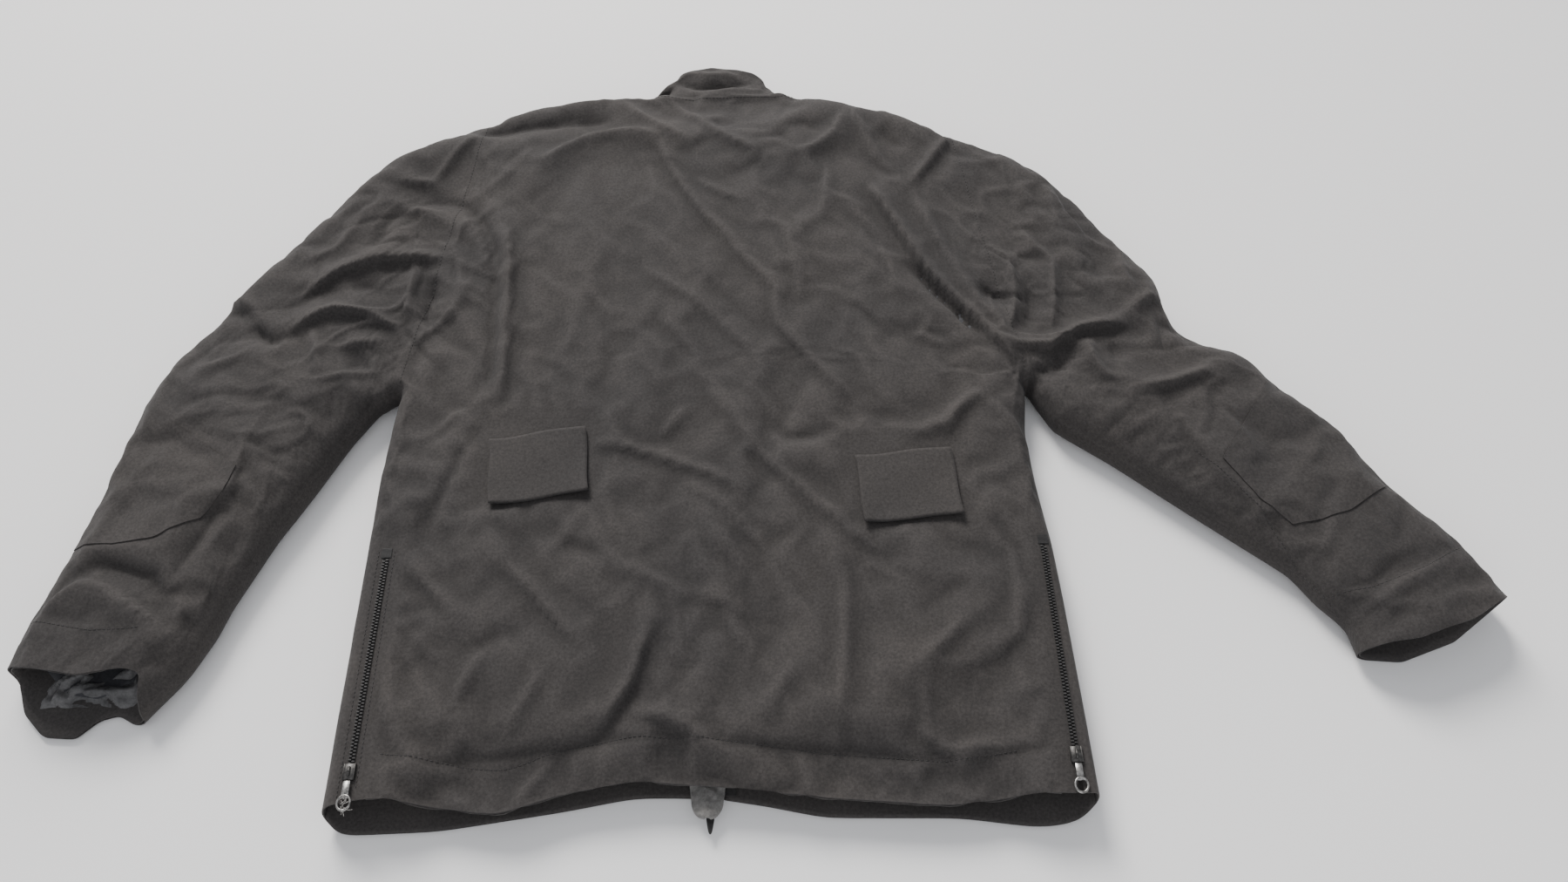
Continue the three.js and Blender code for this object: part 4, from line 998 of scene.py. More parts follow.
def cut_piece(name, wanted, thickness=CLOTH_THICKNESS, material=None):
    """Takes one cut piece out of the laid skin and gives the cloth its thickness."""
    bm = bmesh.new()
    bm.from_mesh(shell.data)
    layer = bm.faces.layers.int["part"]
    drop = [f for f in bm.faces if f[layer] != PARTS.index(wanted)]
    bmesh.ops.delete(bm, geom=drop, context="FACES")
    for f in bm.faces:
        f.smooth = True
    for e in bm.edges:
        e.smooth = not e.is_boundary
    piece = finished(name, bm, material or shell_cloth)
    wall = piece.modifiers.new("cloth", "SOLIDIFY")
    wall.thickness = thickness
    wall.offset = -1.0
    return piece


def as_sheet(piece, width, length, rests_on, with_pieces=()):
    return piece


back = cut_piece("back", "back")
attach(back, "torso")
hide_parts("back_panel")
as_sheet(back, 0.60, 0.76, ["left_front", "right_front"])

skin_tree = BVHTree.FromPolygons([v.co.copy() for v in shell.data.vertices],
                                 [tuple(p.vertices) for p in shell.data.polygons])


def cloth_top(x, y, otherwise=0.030):
    """Height of the upper layer over a point, in the finished frame."""
    hit = skin_tree.ray_cast(Vector((x, y, 0.2)), Vector((0, 0, -1)))[0]
    return hit.z if hit is not None and hit.z > 0.004 else otherwise


# ---------------------------------------------------------------- side panels
# Each side panel wraps round the rolled side from its vent zip to the front, cut in the
# shell cloth and felled into the front's side seam.

for side in ("left", "right"):
    panel = cut_piece(side + "_side", side + "_side")
    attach(panel, "torso")
    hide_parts(side + "_side_panel")
    as_sheet(panel, 0.10, 0.37, ["floor"])


# ---------------------------------------------------------------- fronts
# The two fronts lie flat on the floor under the back, cut in the shell cloth, with the front
# zip between them.

for side in ("left", "right"):
    front = cut_piece(side + "_front", side + "_front")
    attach(front, "torso")
    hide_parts(side + "_front_panel")
    as_sheet(front, 0.29, 0.75, ["floor"])


# ---------------------------------------------------------------- sleeves
# Two-piece sleeves, set in at the armhole and cut again at the elbow, where the padding is.
# The zones where the upper sleeve folds from its armhole seam and the forearm bends from the elbow are worked
# out, but each piece is only baked in place, not folded or bent.

def bend_zone(joint_name, outward, start_off, length):
    """Where cloth starts and ends to bend round a fold line."""
    joint = next(j for j in frame["joints"] if j["name"] == joint_name)
    line = Vector(joint["axis"]).normalized()
    away = line.cross(Vector((0, 0, 1)))
    if away.dot(Vector(outward)) < 0:
        away = -away
    start = Vector(joint["pos_m"]) + away * start_off
    start.z = 0.0
    return start, start + away * length


def on_upper_sleeve(piece, side):
    outward = (-1, 0, 0) if side == "left" else (1, 0, 0)
    zone = bend_zone(side + "_sleeve_fold", outward, 0.006, 0.085)
    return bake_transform(piece)


def on_forearm(piece, side):
    zone = bend_zone(side + "_forearm_bend", (0, -1, 0), 0.006, 0.095)
    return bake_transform(piece)


for side in ("left", "right"):
    upper = cut_piece(side + "_sleeve", side + "_upper")
    on_upper_sleeve(upper, side)
    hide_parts(side + "_upper_sleeve")
    as_sheet(upper, 0.50, 0.47, ["floor"])
    forearm = cut_piece(side + "_forearm", side + "_forearm")
    on_forearm(forearm, side)
    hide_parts(side + "_forearm_sleeve")
    as_sheet(forearm, 0.38, 0.30, ["floor"])


# ---------------------------------------------------------------- collar
# A stand collar of two layers of shell cloth, sewn to the neck seam, from which it lies back
# flat with its fold showing.

collar = cut_piece("collar_stand", "collar")


def on_collar(piece):
    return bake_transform(piece)


on_collar(collar)
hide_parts("collar")
as_sheet(collar, 0.34, 0.055, ["floor"])


# ---------------------------------------------------------------- linings and facings
# A smooth dark lining hangs inside the whole shell, and the hems are faced with shell cloth turned up inside;
# the facing's colour is painted paler than the shell, as painted light in the shade inside the hem and cuff
# mouths. Both follow the shell a few millimetres in.

lining_cloth = woven("lining_cloth", (0.055, 0.055, 0.059), (0.036, 0.036, 0.040), 0.0004, 0.50, 0.10, 0.15)
# The facing is shell cloth; its colour is painted about a quarter paler than the shell, as painted light in
# the shade inside the hem and cuff mouths.
facing_cloth = woven("facing_cloth", (0.066, 0.0600, 0.0570), (0.046, 0.0425, 0.0410))


def inner_layer(name, parts, depth, thickness, material, rows=None, layer=None, smooth=0):
    """A layer of cloth inside the shell, at this depth from its outer face."""
    bm = bmesh.new()
    bm.from_mesh(inside)
    bm.normal_update()
    for v in bm.verts:
        v.co -= v.normal * depth
        v.co.z = max(v.co.z, 0.0024)
    part = bm.faces.layers.int["part"]
    row = bm.faces.layers.int["row"]
    under = bm.faces.layers.int["under"]
    keep = {PARTS.index(p) for p in parts}
    drop = [f for f in bm.faces if f[part] not in keep
            or (rows is not None and not rows[0] <= f[row] <= rows[1])
            or (layer is not None and f[under] != layer)
            or (layer == 0 and abs(f.calc_center_median().x - CENTRE_LINE) > 0.249
                and f.calc_center_median().y < back_low.y + 0.30)]
    bmesh.ops.delete(bm, geom=drop, context="FACES")
    for _ in range(smooth):
        bmesh.ops.smooth_vert(bm, verts=[v for v in bm.verts if not v.is_boundary], factor=0.5,
                              use_axis_x=True, use_axis_y=True, use_axis_z=True)
    for f in bm.faces:
        f.smooth = True
    piece = finished(name, bm, material)
    wall = piece.modifiers.new("cloth", "SOLIDIFY")
    wall.thickness = thickness
    wall.offset = -1.0
    return piece


HEM_ROWS = (0, 6)
CUFF_ROWS = (88, 96)
LINED_ROWS = (7, 400)

for name, parts, rows, layer, node, flat in (
    ("back_lining_cloth", ["back"], LINED_ROWS, 0, "back_lining", (0.58, 0.72)),
    ("left_front_lining_cloth", ["left_front"], LINED_ROWS, 1, "left_front_lining", (0.28, 0.72)),
    ("right_front_lining_cloth", ["right_front"], LINED_ROWS, 1, "right_front_lining", (0.28, 0.72)),
):
    lining = inner_layer(name, parts, 0.0048, 0.0005, lining_cloth, rows, layer, 2)
    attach(lining, "torso")
    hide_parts(node)
    as_sheet(lining, *flat, ["back" if layer == 0 else node.replace("_lining", "")])

for name, parts, layer, node, flat in (
    ("back_hem_turnup", ["back"], 0, "back_hem_facing", (0.56, 0.045)),
    ("left_front_turnup", ["left_front", "left_side"], 1, "left_front_hem_facing", (0.30, 0.045)),
    ("right_front_turnup", ["right_front", "right_side"], 1, "right_front_hem_facing", (0.30, 0.045)),
):
    turnup = inner_layer(name, parts, 0.0022, 0.0008, facing_cloth, HEM_ROWS, layer)
    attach(turnup, "torso")
    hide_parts(node)
    as_sheet(turnup, *flat, ["back" if layer == 0 else parts[0]])

for side in ("left", "right"):
    lining = inner_layer(side + "_sleeve_lining", [side + "_upper"], 0.0050, 0.0005, lining_cloth,
                         None, None, 2)
    on_upper_sleeve(lining, side)
    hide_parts(side + "_upper_sleeve_lining")
    as_sheet(lining, 0.49, 0.46, [side + "_sleeve"])
    lining = inner_layer(side + "_forearm_lining_cloth", [side + "_forearm"], 0.0050, 0.0005, lining_cloth,
                         (0, CUFF_ROWS[0] + 2))
    on_forearm(lining, side)
    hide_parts(side + "_forearm_lining")
    as_sheet(lining, 0.37, 0.27, [side + "_forearm"])
    turnup = inner_layer(side + "_cuff_turnup", [side + "_forearm"], 0.0022, 0.0008, facing_cloth, CUFF_ROWS)
    on_forearm(turnup, side)
    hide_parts(side + "_cuff_facing")
    as_sheet(turnup, 0.31, 0.09, [side + "_forearm"])

collar_inner = inner_layer("collar_inner_stand", ["collar"], 0.0026, 0.0006, lining_cloth)
on_collar(collar_inner)
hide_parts("collar_lining")
as_sheet(collar_inner, 0.32, 0.05, ["collar_stand"])


# ---------------------------------------------------------------- pads
# Closed-cell foam pads, slipped into pockets of the lining at the back, shoulders and elbows.
# Each is a moulded slab with softened edges that follows the cloth over it.

foam = woven("closed_cell_foam", (0.20, 0.21, 0.23), (0.14, 0.15, 0.165), 0.0016, 0.92, 0.0, 0.5)


def pad(name, node):
    bm = bmesh.new()
    bm.from_mesh(frame["nodes"][node].data)
    bmesh.ops.remove_doubles(bm, verts=bm.verts, dist=1e-5)
    bmesh.ops.dissolve_limit(bm, angle_limit=math.radians(2), verts=bm.verts, edges=bm.edges)
    sharp = [e for e in bm.edges if e.is_manifold and e.calc_face_angle() > math.radians(50)]
    bmesh.ops.bevel(bm, geom=sharp, offset=0.0022, offset_type="OFFSET", segments=3, profile=0.5,
                    affect="EDGES", material=-1)
    bmesh.ops.triangulate(bm, faces=bm.faces)
    for _ in range(3):
        long_edges = [e for e in bm.edges if e.calc_length() > 0.014]
        if not long_edges:
            break
        bmesh.ops.subdivide_edges(bm, edges=long_edges, cuts=1)
        bmesh.ops.triangulate(bm, faces=[f for f in bm.faces if len(f.verts) > 3])
    own = BVHTree.FromBMesh(bm)
    for v in bm.verts:
        top = own.ray_cast(Vector((v.co.x, v.co.y, 0.2)), Vector((0, 0, -1)))[0]
        top_z = top.z if top is not None else v.co.z
        around = min(cloth_top(v.co.x + dx, v.co.y + dy) for dx, dy in
                     ((0, 0), (0.006, 0), (-0.006, 0), (0, 0.006), (0, -0.006)))
        v.co.z = max(0.004 + 0.3 * (v.co.z - 0.02), v.co.z + min(0.0, around - 0.0078 - top_z))
    uv = bm.loops.layers.uv.new("weave")
    for f in bm.faces:
        f.smooth = True
        for loop in f.loops:
            loop[uv].uv = loop.vert.co.xy
    return finished(name, bm, foam)


for name, node, side, where in (
    ("back_pad", "back_protector", None, "torso"),
    ("left_shoulder_foam", "left_shoulder_pad", "left", "upper"),
    ("right_shoulder_foam", "right_shoulder_pad", "right", "upper"),
    ("left_elbow_foam", "left_elbow_pad", "left", "fore"),
    ("right_elbow_foam", "right_elbow_pad", "right", "fore"),
):
    piece = pad(name, node)
    if where == "torso":
        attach(piece, "torso")
    elif where == "upper":
        on_upper_sleeve(piece, side)
    else:
        on_forearm(piece, side)
    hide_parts(node)


# ---------------------------------------------------------------- elbow patches
# A second layer of shell cloth is laid over each elbow and topstitched round its edge,
# rounded towards the inner seam.

def laid_patch(name, start, end, left, right, rise, thickness, columns=40, rows=44, material=None):
    """A patch of cloth inside four drawn lines, laid on the cloth under it."""
    across, along = np.linspace(0, 1, columns), np.linspace(0, 1, rows)
    points = coons(run_along(start, across), run_along(end, across),
                   run_along(left, along), run_along(right, along))(across, along)
    bm = bmesh.new()
    weave = bm.loops.layers.uv.new("weave")
    bmesh.ops.create_grid(bm, x_segments=columns - 1, y_segments=rows - 1, size=0.5)
    for v in bm.verts:
        i = round((v.co.x + 0.5) * (columns - 1))
        j = round((v.co.y + 0.5) * (rows - 1))
        x, y = points[j, i, 0] + LAY.x, points[j, i, 1] + LAY.y
        v.co = (x, y, cloth_top(x, y) + rise)
    bm.normal_update()
    if sum(f.normal.z for f in bm.faces) < 0:
        bmesh.ops.reverse_faces(bm, faces=bm.faces)
    for f in bm.faces:
        f.smooth = True
        for loop in f.loops:
            loop[weave].uv = loop.vert.co.xy
    for e in bm.edges:
        e.smooth = not e.is_boundary
    piece = finished(name, bm, material or shell_cloth)
    wall = piece.modifiers.new("cloth", "SOLIDIFY")
    wall.thickness = thickness
    wall.offset = -1.0
    return piece


ELBOW_PATCHES = {
    "left": ([(-0.396, -0.0715), (-0.447, -0.035), (-0.494, -0.001)],
             [(-0.417, -0.118), (-0.448, -0.137), (-0.480, -0.141), (-0.518, -0.139)],
             [(-0.396, -0.0715), (-0.402, -0.095), (-0.417, -0.118)],
             [(-0.494, -0.001), (-0.500, -0.040), (-0.508, -0.096), (-0.518, -0.139)]),
    "right": ([(0.421, -0.084), (0.452, -0.042), (0.484, 0.002)],
              [(0.468, -0.143), (0.492, -0.140), (0.515, -0.134), (0.556, -0.108)],
              [(0.421, -0.084), (0.444, -0.120), (0.468, -0.143)],
              [(0.484, 0.002), (0.504, -0.020), (0.531, -0.052), (0.556, -0.108)]),
}
for side, lines in ELBOW_PATCHES.items():
    patch = laid_patch(side + "_elbow_cloth", *lines, 0.0011, 0.0010)
    on_forearm(patch, side)
    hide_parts(side + "_elbow_patch")
    as_sheet(patch, 0.15, 0.16, [side + "_forearm"])


# ---------------------------------------------------------------- back flaps
# Two squared flaps of doubled shell cloth, lined and sewn along their top edge over the
# back pockets; each lies nearly flat and lifts from its top seam.

def flap(side, name, node, rise, thickness, material):
    low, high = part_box(node)
    turn = math.radians(7 if side == "left" else 5)
    middle = (low + high) / 2
    wide, long = (0.082, 0.065) if "lining" not in node else (0.076, 0.060)
    bm = bmesh.new()
    weave = bm.loops.layers.uv.new("weave")
    bmesh.ops.create_grid(bm, x_segments=30, y_segments=24, size=0.5)
    bmesh.ops.scale(bm, verts=bm.verts, vec=(wide, long, 1.0))
    for f in bm.faces:
        for loop in f.loops:
            loop[weave].uv = loop.vert.co.xy
    for v in bm.verts:
        u, w = v.co.x / (wide / 2), v.co.y / (long / 2)
        curl = 0.0014 * max(0.0, abs(u) - 0.55) ** 2 * max(0.0, 0.4 - w) * 8
        ripple = 0.0005 * math.sin(5.0 * u + 1.7 * w) + 0.0004 * math.sin(3.1 * w - 2.0 * u)
        v.co.x += 0.0010 * math.sin(2.6 * w) * u * u
        v.co.y += 0.0009 * math.sin(3.4 * u)
        v.co.z = curl + ripple
    bmesh.ops.rotate(bm, verts=bm.verts, cent=(0, 0, 0), matrix=Matrix.Rotation(turn, 3, "Z"))
    bmesh.ops.translate(bm, verts=bm.verts, vec=(middle.x, middle.y, 0))
    for v in bm.verts:
        near = [cloth_top(v.co.x + dx, v.co.y + dy) for dx in (-0.012, 0, 0.012) for dy in (-0.012, 0, 0.012)]
        here = cloth_top(v.co.x, v.co.y)
        v.co.z += max(sum(near) / 9 + 0.0006, here) + rise
    for _ in range(3):
        bmesh.ops.smooth_vert(bm, verts=bm.verts, factor=0.5, use_axis_z=True)
    for f in bm.faces:
        f.smooth = True
    piece = finished(name, bm, material)
    wall = piece.modifiers.new("cloth", "SOLIDIFY")
    wall.thickness = thickness
    wall.offset = 0.0
    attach(piece, side + "_flap")
    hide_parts(node)
    return piece


for side in ("left", "right"):
    top = flap(side, side + "_flap_cloth", side + "_back_flap", 0.0020, 0.0014, shell_cloth)
    as_sheet(top, 0.082, 0.065, ["back"])
    lined = flap(side, side + "_flap_lining", side + "_back_flap_lining", 0.0008, 0.0005, lining_cloth)
    as_sheet(lined, 0.076, 0.060, ["back"])


# ---------------------------------------------------------------- vent zips and front zip
# Each zip is two rows of moulded teeth on woven tapes; the front zip's slider is nickel and the vent runners
# gunmetal. The vent zips run up from the hem; the front zip runs under the jacket from hem to neck.

tooth_finish = plain_material("zip_teeth", (0.036, 0.034, 0.033), 0.50, 0.0, 600.0)
zip_tape = woven("zip_tape", (0.044, 0.042, 0.041), (0.028, 0.027, 0.0265), 0.0005, 0.85, 0.1, 0.4)
nickel = bpy.data.materials.new("worn_nickel")
nickel.use_nodes = True
tree = nickel.node_tree
shader = tree.nodes["Principled BSDF"]
shader.inputs["Metallic"].default_value = 1.0
place_in = tree.nodes.new("ShaderNodeTexCoord")
stain = tree.nodes.new("ShaderNodeTexNoise")
stain.inputs["Scale"].default_value = 420.0
stain.inputs["Detail"].default_value = 5.0
link(tree, place_in, "Object", stain, "Vector")
tone = tree.nodes.new("ShaderNodeValToRGB")
tone.color_ramp.elements[0].position = 0.35
tone.color_ramp.elements[0].color = (0.17, 0.165, 0.158, 1.0)
tone.color_ramp.elements[1].position = 0.65
tone.color_ramp.elements[1].color = (0.42, 0.41, 0.395, 1.0)
link(tree, stain, "Fac", tone, "Fac")
link(tree, tone, "Color", shader, "Base Color")
haze = tree.nodes.new("ShaderNodeMapRange")
haze.inputs["To Min"].default_value = 0.26
haze.inputs["To Max"].default_value = 0.52
link(tree, stain, "Fac", haze, "Value")
link(tree, haze, "Result", shader, "Roughness")


gunmetal = plain_material("gunmetal", (0.075, 0.072, 0.069), 0.46, 0.85, 480.0)


def lump(bm, centre, size, bevel, turn=0.0):
    """A small block with eased edges."""
    made = bmesh.ops.create_cube(bm, size=1.0)["verts"]
    bmesh.ops.scale(bm, verts=made, vec=size)
    if turn:
        bmesh.ops.rotate(bm, verts=made, cent=(0, 0, 0), matrix=Matrix.Rotation(turn, 3, "Z"))
    bmesh.ops.translate(bm, verts=made, vec=centre)
    if bevel:
        edges = list({e for v in made for e in v.link_edges})
        bmesh.ops.bevel(bm, geom=edges, offset=bevel, offset_type="OFFSET", segments=1, profile=0.5,
                        affect="EDGES", material=-1)
    return made


def teeth(name, node, first):
    """One row of teeth in the room of its chain."""
    low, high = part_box(node)
    middle = (low + high) / 2
    size = high - low
    pitch = 0.0026
    count = int((size.y - 0.001) / pitch)
    bm = bmesh.new()
    for k in range(count):
        y = low.y + first + pitch * (k + 0.25)
        lump(bm, (middle.x, y, middle.z), (size.x, pitch * 0.46, size.z * 0.92), 0.00022)
    piece = finished(name, bm, tooth_finish)
    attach(piece, "torso")
    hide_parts(node)
    return piece


for side in ("left", "right"):
    for k, half in enumerate(("outer", "inner")):
        teeth(f"{side}_vent_{half}_teeth", f"{side}_vent_{half}_chain", 0.0013 * k)
        tape = frame["nodes"][f"{side}_vent_{half}_tape"]
        tape.data.materials.clear()
        tape.data.materials.append(zip_tape)
    teeth(f"{side}_front_teeth", f"{side}_zip_chain", 0.0013 * (side == "right"))
    frame["nodes"][f"{side}_zip_tape"].data.materials.clear()
    frame["nodes"][f"{side}_zip_tape"].data.materials.append(zip_tape)
for node, finish in (("hanger_loop", zip_tape), ("zip_bottom_stop", nickel), ("front_zip_slider", nickel),
                     ("front_zip_puller", nickel)):
    frame["nodes"][node].data.materials.clear()
    frame["nodes"][node].data.materials.append(finish)

for side in ("left", "right"):
    low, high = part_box(side + "_vent_slider")
    middle = (low + high) / 2
    bm = bmesh.new()
    lump(bm, (middle.x, middle.y, high.z - 0.0007), (high.x - low.x, high.y - low.y, 0.0011), 0.0004)
    for at in (-1, 1):
        lump(bm, (middle.x + at * (high.x - low.x - 0.0012) / 2, middle.y, middle.z),
             (0.0011, high.y - low.y, high.z - low.z), 0.0003)
    arch = bmesh.ops.create_cone(bm, cap_ends=True, segments=16, radius1=0.0011, radius2=0.0011,
                                 depth=0.0068)["verts"]
    bmesh.ops.rotate(bm, verts=arch, cent=(0, 0, 0), matrix=Matrix.Rotation(math.radians(90), 3, "X"))
    bmesh.ops.translate(bm, verts=arch, vec=(middle.x, middle.y, high.z + 0.0003))
    for f in bm.faces:
        f.smooth = True
    slider = finished(side + "_vent_runner", bm, gunmetal)
    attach(slider, side + "_slider")
    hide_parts(side + "_vent_slider")

    low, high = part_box(side + "_vent_pull")
    middle = (low + high) / 2
    bm = bmesh.new()
    ring_radius = (high.x - low.x) / 2 - 0.0009
    section = bmesh.ops.create_circle(bm, cap_ends=False, segments=10, radius=0.00085)["verts"]
    bmesh.ops.rotate(bm, verts=section, cent=(0, 0, 0), matrix=Matrix.Rotation(math.radians(90), 3, "X"))
    bmesh.ops.translate(bm, verts=section, vec=(ring_radius, 0, 0))
    edges = [e for e in bm.edges]
    bmesh.ops.spin(bm, geom=edges, cent=(0, 0, 0), axis=(0, 0, 1), angle=math.radians(360), steps=40,
                   use_merge=True)
    bmesh.ops.remove_doubles(bm, verts=bm.verts, dist=1e-6)
    bmesh.ops.recalc_face_normals(bm, faces=bm.faces)
    bmesh.ops.scale(bm, verts=bm.verts, vec=(1.0, 1.15, 1.0))
    bmesh.ops.translate(bm, verts=bm.verts, vec=(middle.x, low.y + ring_radius * 1.15 + 0.0009, middle.z))
    tab_long = high.y - (low.y + 2.3 * ring_radius) + 0.0012
    lump(bm, (middle.x, high.y - tab_long / 2, middle.z), (0.0052, tab_long, 0.0012), 0.0003)
    for f in bm.faces:
        f.smooth = True
    ring = finished(side + "_vent_ring", bm, nickel)
    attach(ring, side + "_pull")
    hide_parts(side + "_vent_pull")


# ---------------------------------------------------------------- frayed threads at the left pull
# A tuft of pale thread, the torn end of the left pull's cloth tab, still hangs in its ring.
# The ends are only a few millimetres long.

pale_thread = plain_material("pale_thread", (0.30, 0.29, 0.275), 0.85, 0.0, 1400.0)
low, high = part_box("left_vent_pull")
dice = random.Random(31)
tuft = bmesh.new()
for _ in range(11):
    heading = math.radians(dice.uniform(20, 340))
    spot = Vector(((low.x + high.x) / 2 + dice.uniform(-0.0022, 0.0022), low.y + dice.uniform(0.002, 0.009),
                   high.z + 0.0009))
    curl = dice.uniform(-0.55, 0.55)
    for _ in range(6):
        heading += curl + dice.uniform(-0.25, 0.25)
        reach = Vector((math.cos(heading), math.sin(heading), dice.uniform(0.02, 0.30))) * 0.0011
        bead = bmesh.ops.create_cone(tuft, cap_ends=True, segments=5, radius1=0.00018, radius2=0.00018,
                                     depth=reach.length * 1.15)["verts"]
        bmesh.ops.rotate(tuft, verts=bead, cent=(0, 0, 0), matrix=reach.to_track_quat("Z", "Y").to_matrix())
        bmesh.ops.translate(tuft, verts=bead, vec=spot + reach / 2)
        spot = spot + reach
for f in tuft.faces:
    f.smooth = True
frayed = finished("left_pull_frayed_threads", tuft, pale_thread)
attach(frayed, "left_pull")


# ---------------------------------------------------------------- zip end tongue
# A pale worn tongue of bonded cloth stiffens the bottom end of the front zip and pokes out
# below the back hem, with the dark end of the zip tape under it.

patch_cloth = woven("worn_pale_patch", (0.30, 0.29, 0.275), (0.11, 0.105, 0.10), 0.0006, 0.75, 0.2, 0.6)
low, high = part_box("zip_end_patch")


def crumpled_tab(name, middle_x, front_y, back_y, wide_front, wide_back, base_z, rise, material, seed):
    bm = bmesh.new()
    weave = bm.loops.layers.uv.new("weave")
    bmesh.ops.create_grid(bm, x_segments=26, y_segments=34, size=0.5)
    for v in bm.verts:
        u, w = v.co.x, v.co.y + 0.5
        half = wide_front + (wide_back - wide_front) * w
        round_end = math.sqrt(max(0.0, 1 - (1 - min(1.0, w / 0.28)) ** 2))
        x = middle_x + u * half * (0.25 + 0.75 * round_end)
        y = front_y + (back_y - front_y) * w
        swell = noise.noise(Vector((x * 160, y * 160, seed)))
        v.co = (x, y, base_z + rise * (1 - w) * (1 - (2 * u) ** 2) + 0.0016 * swell)
    for f in bm.faces:
        f.smooth = True
        for loop in f.loops:
            loop[weave].uv = loop.vert.co.xy
    piece = finished(name, bm, material)
    wall = piece.modifiers.new("cloth", "SOLIDIFY")
    wall.thickness = 0.0010
    return piece


tongue = crumpled_tab("zip_tongue", (low.x + high.x) / 2 - 0.006, low.y - 0.016, high.y, 0.021, 0.030,
                      0.0095, 0.0045, patch_cloth, 3.0)
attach(tongue, "torso")
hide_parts("zip_end_patch")
as_sheet(tongue, 0.03, 0.04, ["left_front_turnup"])
spike = crumpled_tab("zip_tape_end", (low.x + high.x) / 2 - 0.004, low.y - 0.026, high.y - 0.008,
                     0.004, 0.011, 0.0075, 0.0010, zip_tape, 8.0)
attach(spike, "torso")
as_sheet(spike, 0.011, 0.041, ["left_front_turnup"])


# ---------------------------------------------------------------- lining that fills the open left cuff
# The left cuff stands open, and the sleeve's thin smooth lining has worked loose inside it.
# It has crept down into the mouth, crumpled, and is held only where it joins the cuff facing.

def mouth_lining(name, front_left, front_right, back_left, back_right, low_z, high_z, seed):
    columns, rows = 44, 34
    bm = bmesh.new()
    weave = bm.loops.layers.uv.new("weave")
    bmesh.ops.create_grid(bm, x_segments=columns, y_segments=rows, size=0.5)
    for v in bm.verts:
        u, w = v.co.x + 0.5, v.co.y + 0.5
        front = (1 - u) * np.array(front_left) + u * np.array(front_right)
        back_line = (1 - u) * np.array(back_left) + u * np.array(back_right)
        x, y = (1 - w) * front + w * back_line + np.array([LAY.x, LAY.y])
        swirl = noise.noise(Vector((u * 4.1 + seed, w * 2.9, 0.0))) * 1.3
        spot = Vector((u * 4.4 + swirl, w * 3.0 + seed, 1.7))
        wave = noise.ridged_multi_fractal(spot, 0.9, 2.1, 3, 0.9, 2.0, noise_basis="PERLIN_NEW")
        edge = min(1.0, 6 * u, 6 * (1 - u), 5 * w + 0.15)
        y += 0.004 * noise.noise(Vector((u * 6.0, seed, 3.0))) * (1 - w)
        v.co = (x, y, low_z + (high_z - low_z) * edge * min(1.0, max(0.0, (wave - 0.55) * 0.58)))
    bmesh.ops.smooth_vert(bm, verts=bm.verts, factor=0.4, use_axis_x=True, use_axis_y=True, use_axis_z=True)
    for f in bm.faces:
        f.smooth = True
        for loop in f.loops:
            loop[weave].uv = loop.vert.co.xy
    for e in bm.edges:
        e.smooth = not e.is_boundary
    piece = finished(name, bm, loose_lining)
    wall = piece.modifiers.new("cloth", "SOLIDIFY")
    wall.thickness = 0.0006
    return piece


loose_lining = woven("loose_lining", (0.185, 0.180, 0.178), (0.080, 0.079, 0.080), 0.0004, 0.42, 0.12, 0.15)
crept = mouth_lining("left_cuff_loose_lining", (-0.524, -0.262), (-0.440, -0.262), (-0.512, -0.205),
                     (-0.430, -0.200), 0.0042, 0.027, 4.2)
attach(crept, "left_forearm")
as_sheet(crept, 0.11, 0.09, ["left_forearm"])


# ---------------------------------------------------------------- topstitching
# Dark core-spun thread, about seven stitches to the inch, runs along the back hem, armholes,
# neck, cuffs, elbow patches and left vent, and a bar tack closes the top of each vent.

thread = plain_material("dark_thread", (0.022, 0.0205, 0.020), 0.60, 0.0, 1400.0)


STITCH_PITCH = 0.0036
STITCH_LENGTH = 0.0023
STITCH_RADIUS = 0.00026
STEEPEST_RISE = 0.004


def stitches(name, runs):
    bm = bmesh.new()
    for run in runs:
        line = run_along(run, np.linspace(0, 1, 60))
        span = float(np.linalg.norm(np.diff(line, axis=0), axis=1).sum())
        count = max(2, round(span / STITCH_PITCH))
        at = run_along(run, (np.arange(count) + 0.5) / count)
        ahead = run_along(run, np.minimum(1.0, (np.arange(count) + 0.9) / count))
        for (x, y), (x2, y2) in zip(at, ahead):
            x, y, x2, y2 = x + LAY.x, y + LAY.y, x2 + LAY.x, y2 + LAY.y
            direction = Vector((x2 - x, y2 - y, 0.0))
            if direction.length < 1e-7:
                continue
            here = cloth_top(x, y)
            step = direction.normalized() * 0.0012
            rise = cloth_top(x + step.x, y + step.y) - cloth_top(x - step.x, y - step.y)
            if abs(rise) > STEEPEST_RISE:
                continue
            bead = bmesh.ops.create_cone(bm, cap_ends=True, segments=5, radius1=STITCH_RADIUS,
                                         radius2=STITCH_RADIUS, depth=STITCH_LENGTH)["verts"]
            along = Vector((step.x * 2, step.y * 2, rise)).to_track_quat("Z", "Y").to_matrix()
            bmesh.ops.rotate(bm, verts=bead, cent=(0, 0, 0), matrix=along)
            bmesh.ops.translate(bm, verts=bead, vec=(x, y, here + 0.00012))
    for f in bm.faces:
        f.smooth = True
    return finished(name, bm, thread)


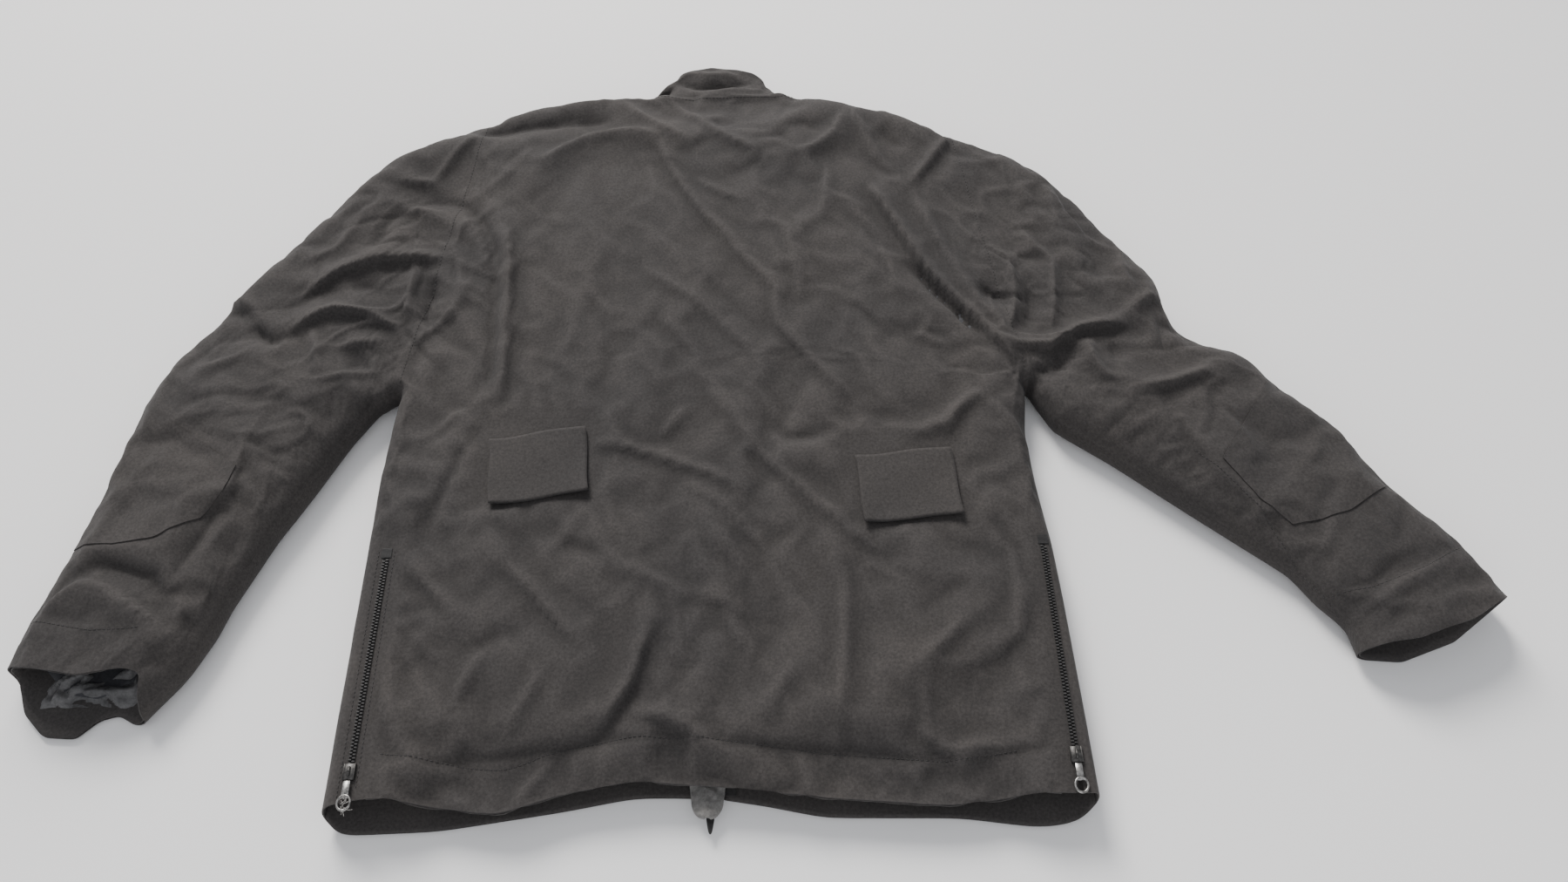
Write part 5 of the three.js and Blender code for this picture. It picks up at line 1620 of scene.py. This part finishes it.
hem_stitch = [(x, y + 0.0315) for x, y in BACK_HEM if -0.26 < x < 0.275]
zip_edge = [(left_zip_x - SLOT_HALF - 0.0045, y) for y in (-0.345, vent_top + 0.006)]
zip_edge_in = [(left_zip_x + SLOT_HALF + 0.0045, y) for y in (-0.338, vent_top + 0.006)]
armhole_left = [(-0.279, 0.020), (-0.2335, 0.346)]
armhole_right = [(0.2725, 0.018), (0.234, 0.320)]
neck_row = [(-0.072, 0.3800), (0.0, 0.3805), (0.078, 0.3800)]
body_rows = [hem_stitch, zip_edge, zip_edge_in, armhole_left, armhole_right, neck_row]
body_stitches = stitches("body_stitching", body_rows)
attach(body_stitches, "torso")
tacks = bmesh.new()
for zip_x in (left_zip_x, right_zip_x):
    x, y = zip_x + LAY.x, vent_top + LAY.y + 0.0030
    seat = max(cloth_top(x + dx, y + dy) for dx in (-0.0045, 0.0045) for dy in (-0.003, 0.003))
    lump(tacks, (x, y, seat - 0.0006), (0.0086, 0.0086, 0.0020), 0.0005)
    for k in range(9):
        lump(tacks, (x, y + (k - 4) * 0.00092, seat + 0.00045), (0.0082, 0.00055, 0.0005), 0.00012)
bar_tacks = finished("vent_bar_tacks", tacks, thread)
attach(bar_tacks, "torso")
for side, cuff_run, seam_run in (
    ("left", [(-0.442, -0.212), (-0.480, -0.213), (-0.538, -0.203)], None),
    ("right", [(0.480, -0.202), (0.516, -0.200), (0.560, -0.186), (0.598, -0.166)],
     [(0.4015, -0.072), (0.411, -0.084), (0.444, -0.128), (0.470, -0.1785), (0.494, -0.216)]),
):
    start, end, inner, outer = ELBOW_PATCHES[side]
    patch_rows = []
    for off in (0.0022, 0.0058):
        shift = np.array([0.0, off])
        sign = 1 if side == "left" else -1
        patch_rows.append([tuple(np.array(p) + shift) for p in end])
        patch_rows.append([(p[0] - sign * off, p[1] + 0.3 * off) for p in inner])
    seam_rows = [seam_run] if seam_run else []
    sleeve_stitches = stitches(side + "_forearm_stitching", [cuff_run] + seam_rows + patch_rows)
    on_forearm(sleeve_stitches, side)

bpy.data.objects.remove(shell)
bpy.data.meshes.remove(inside)
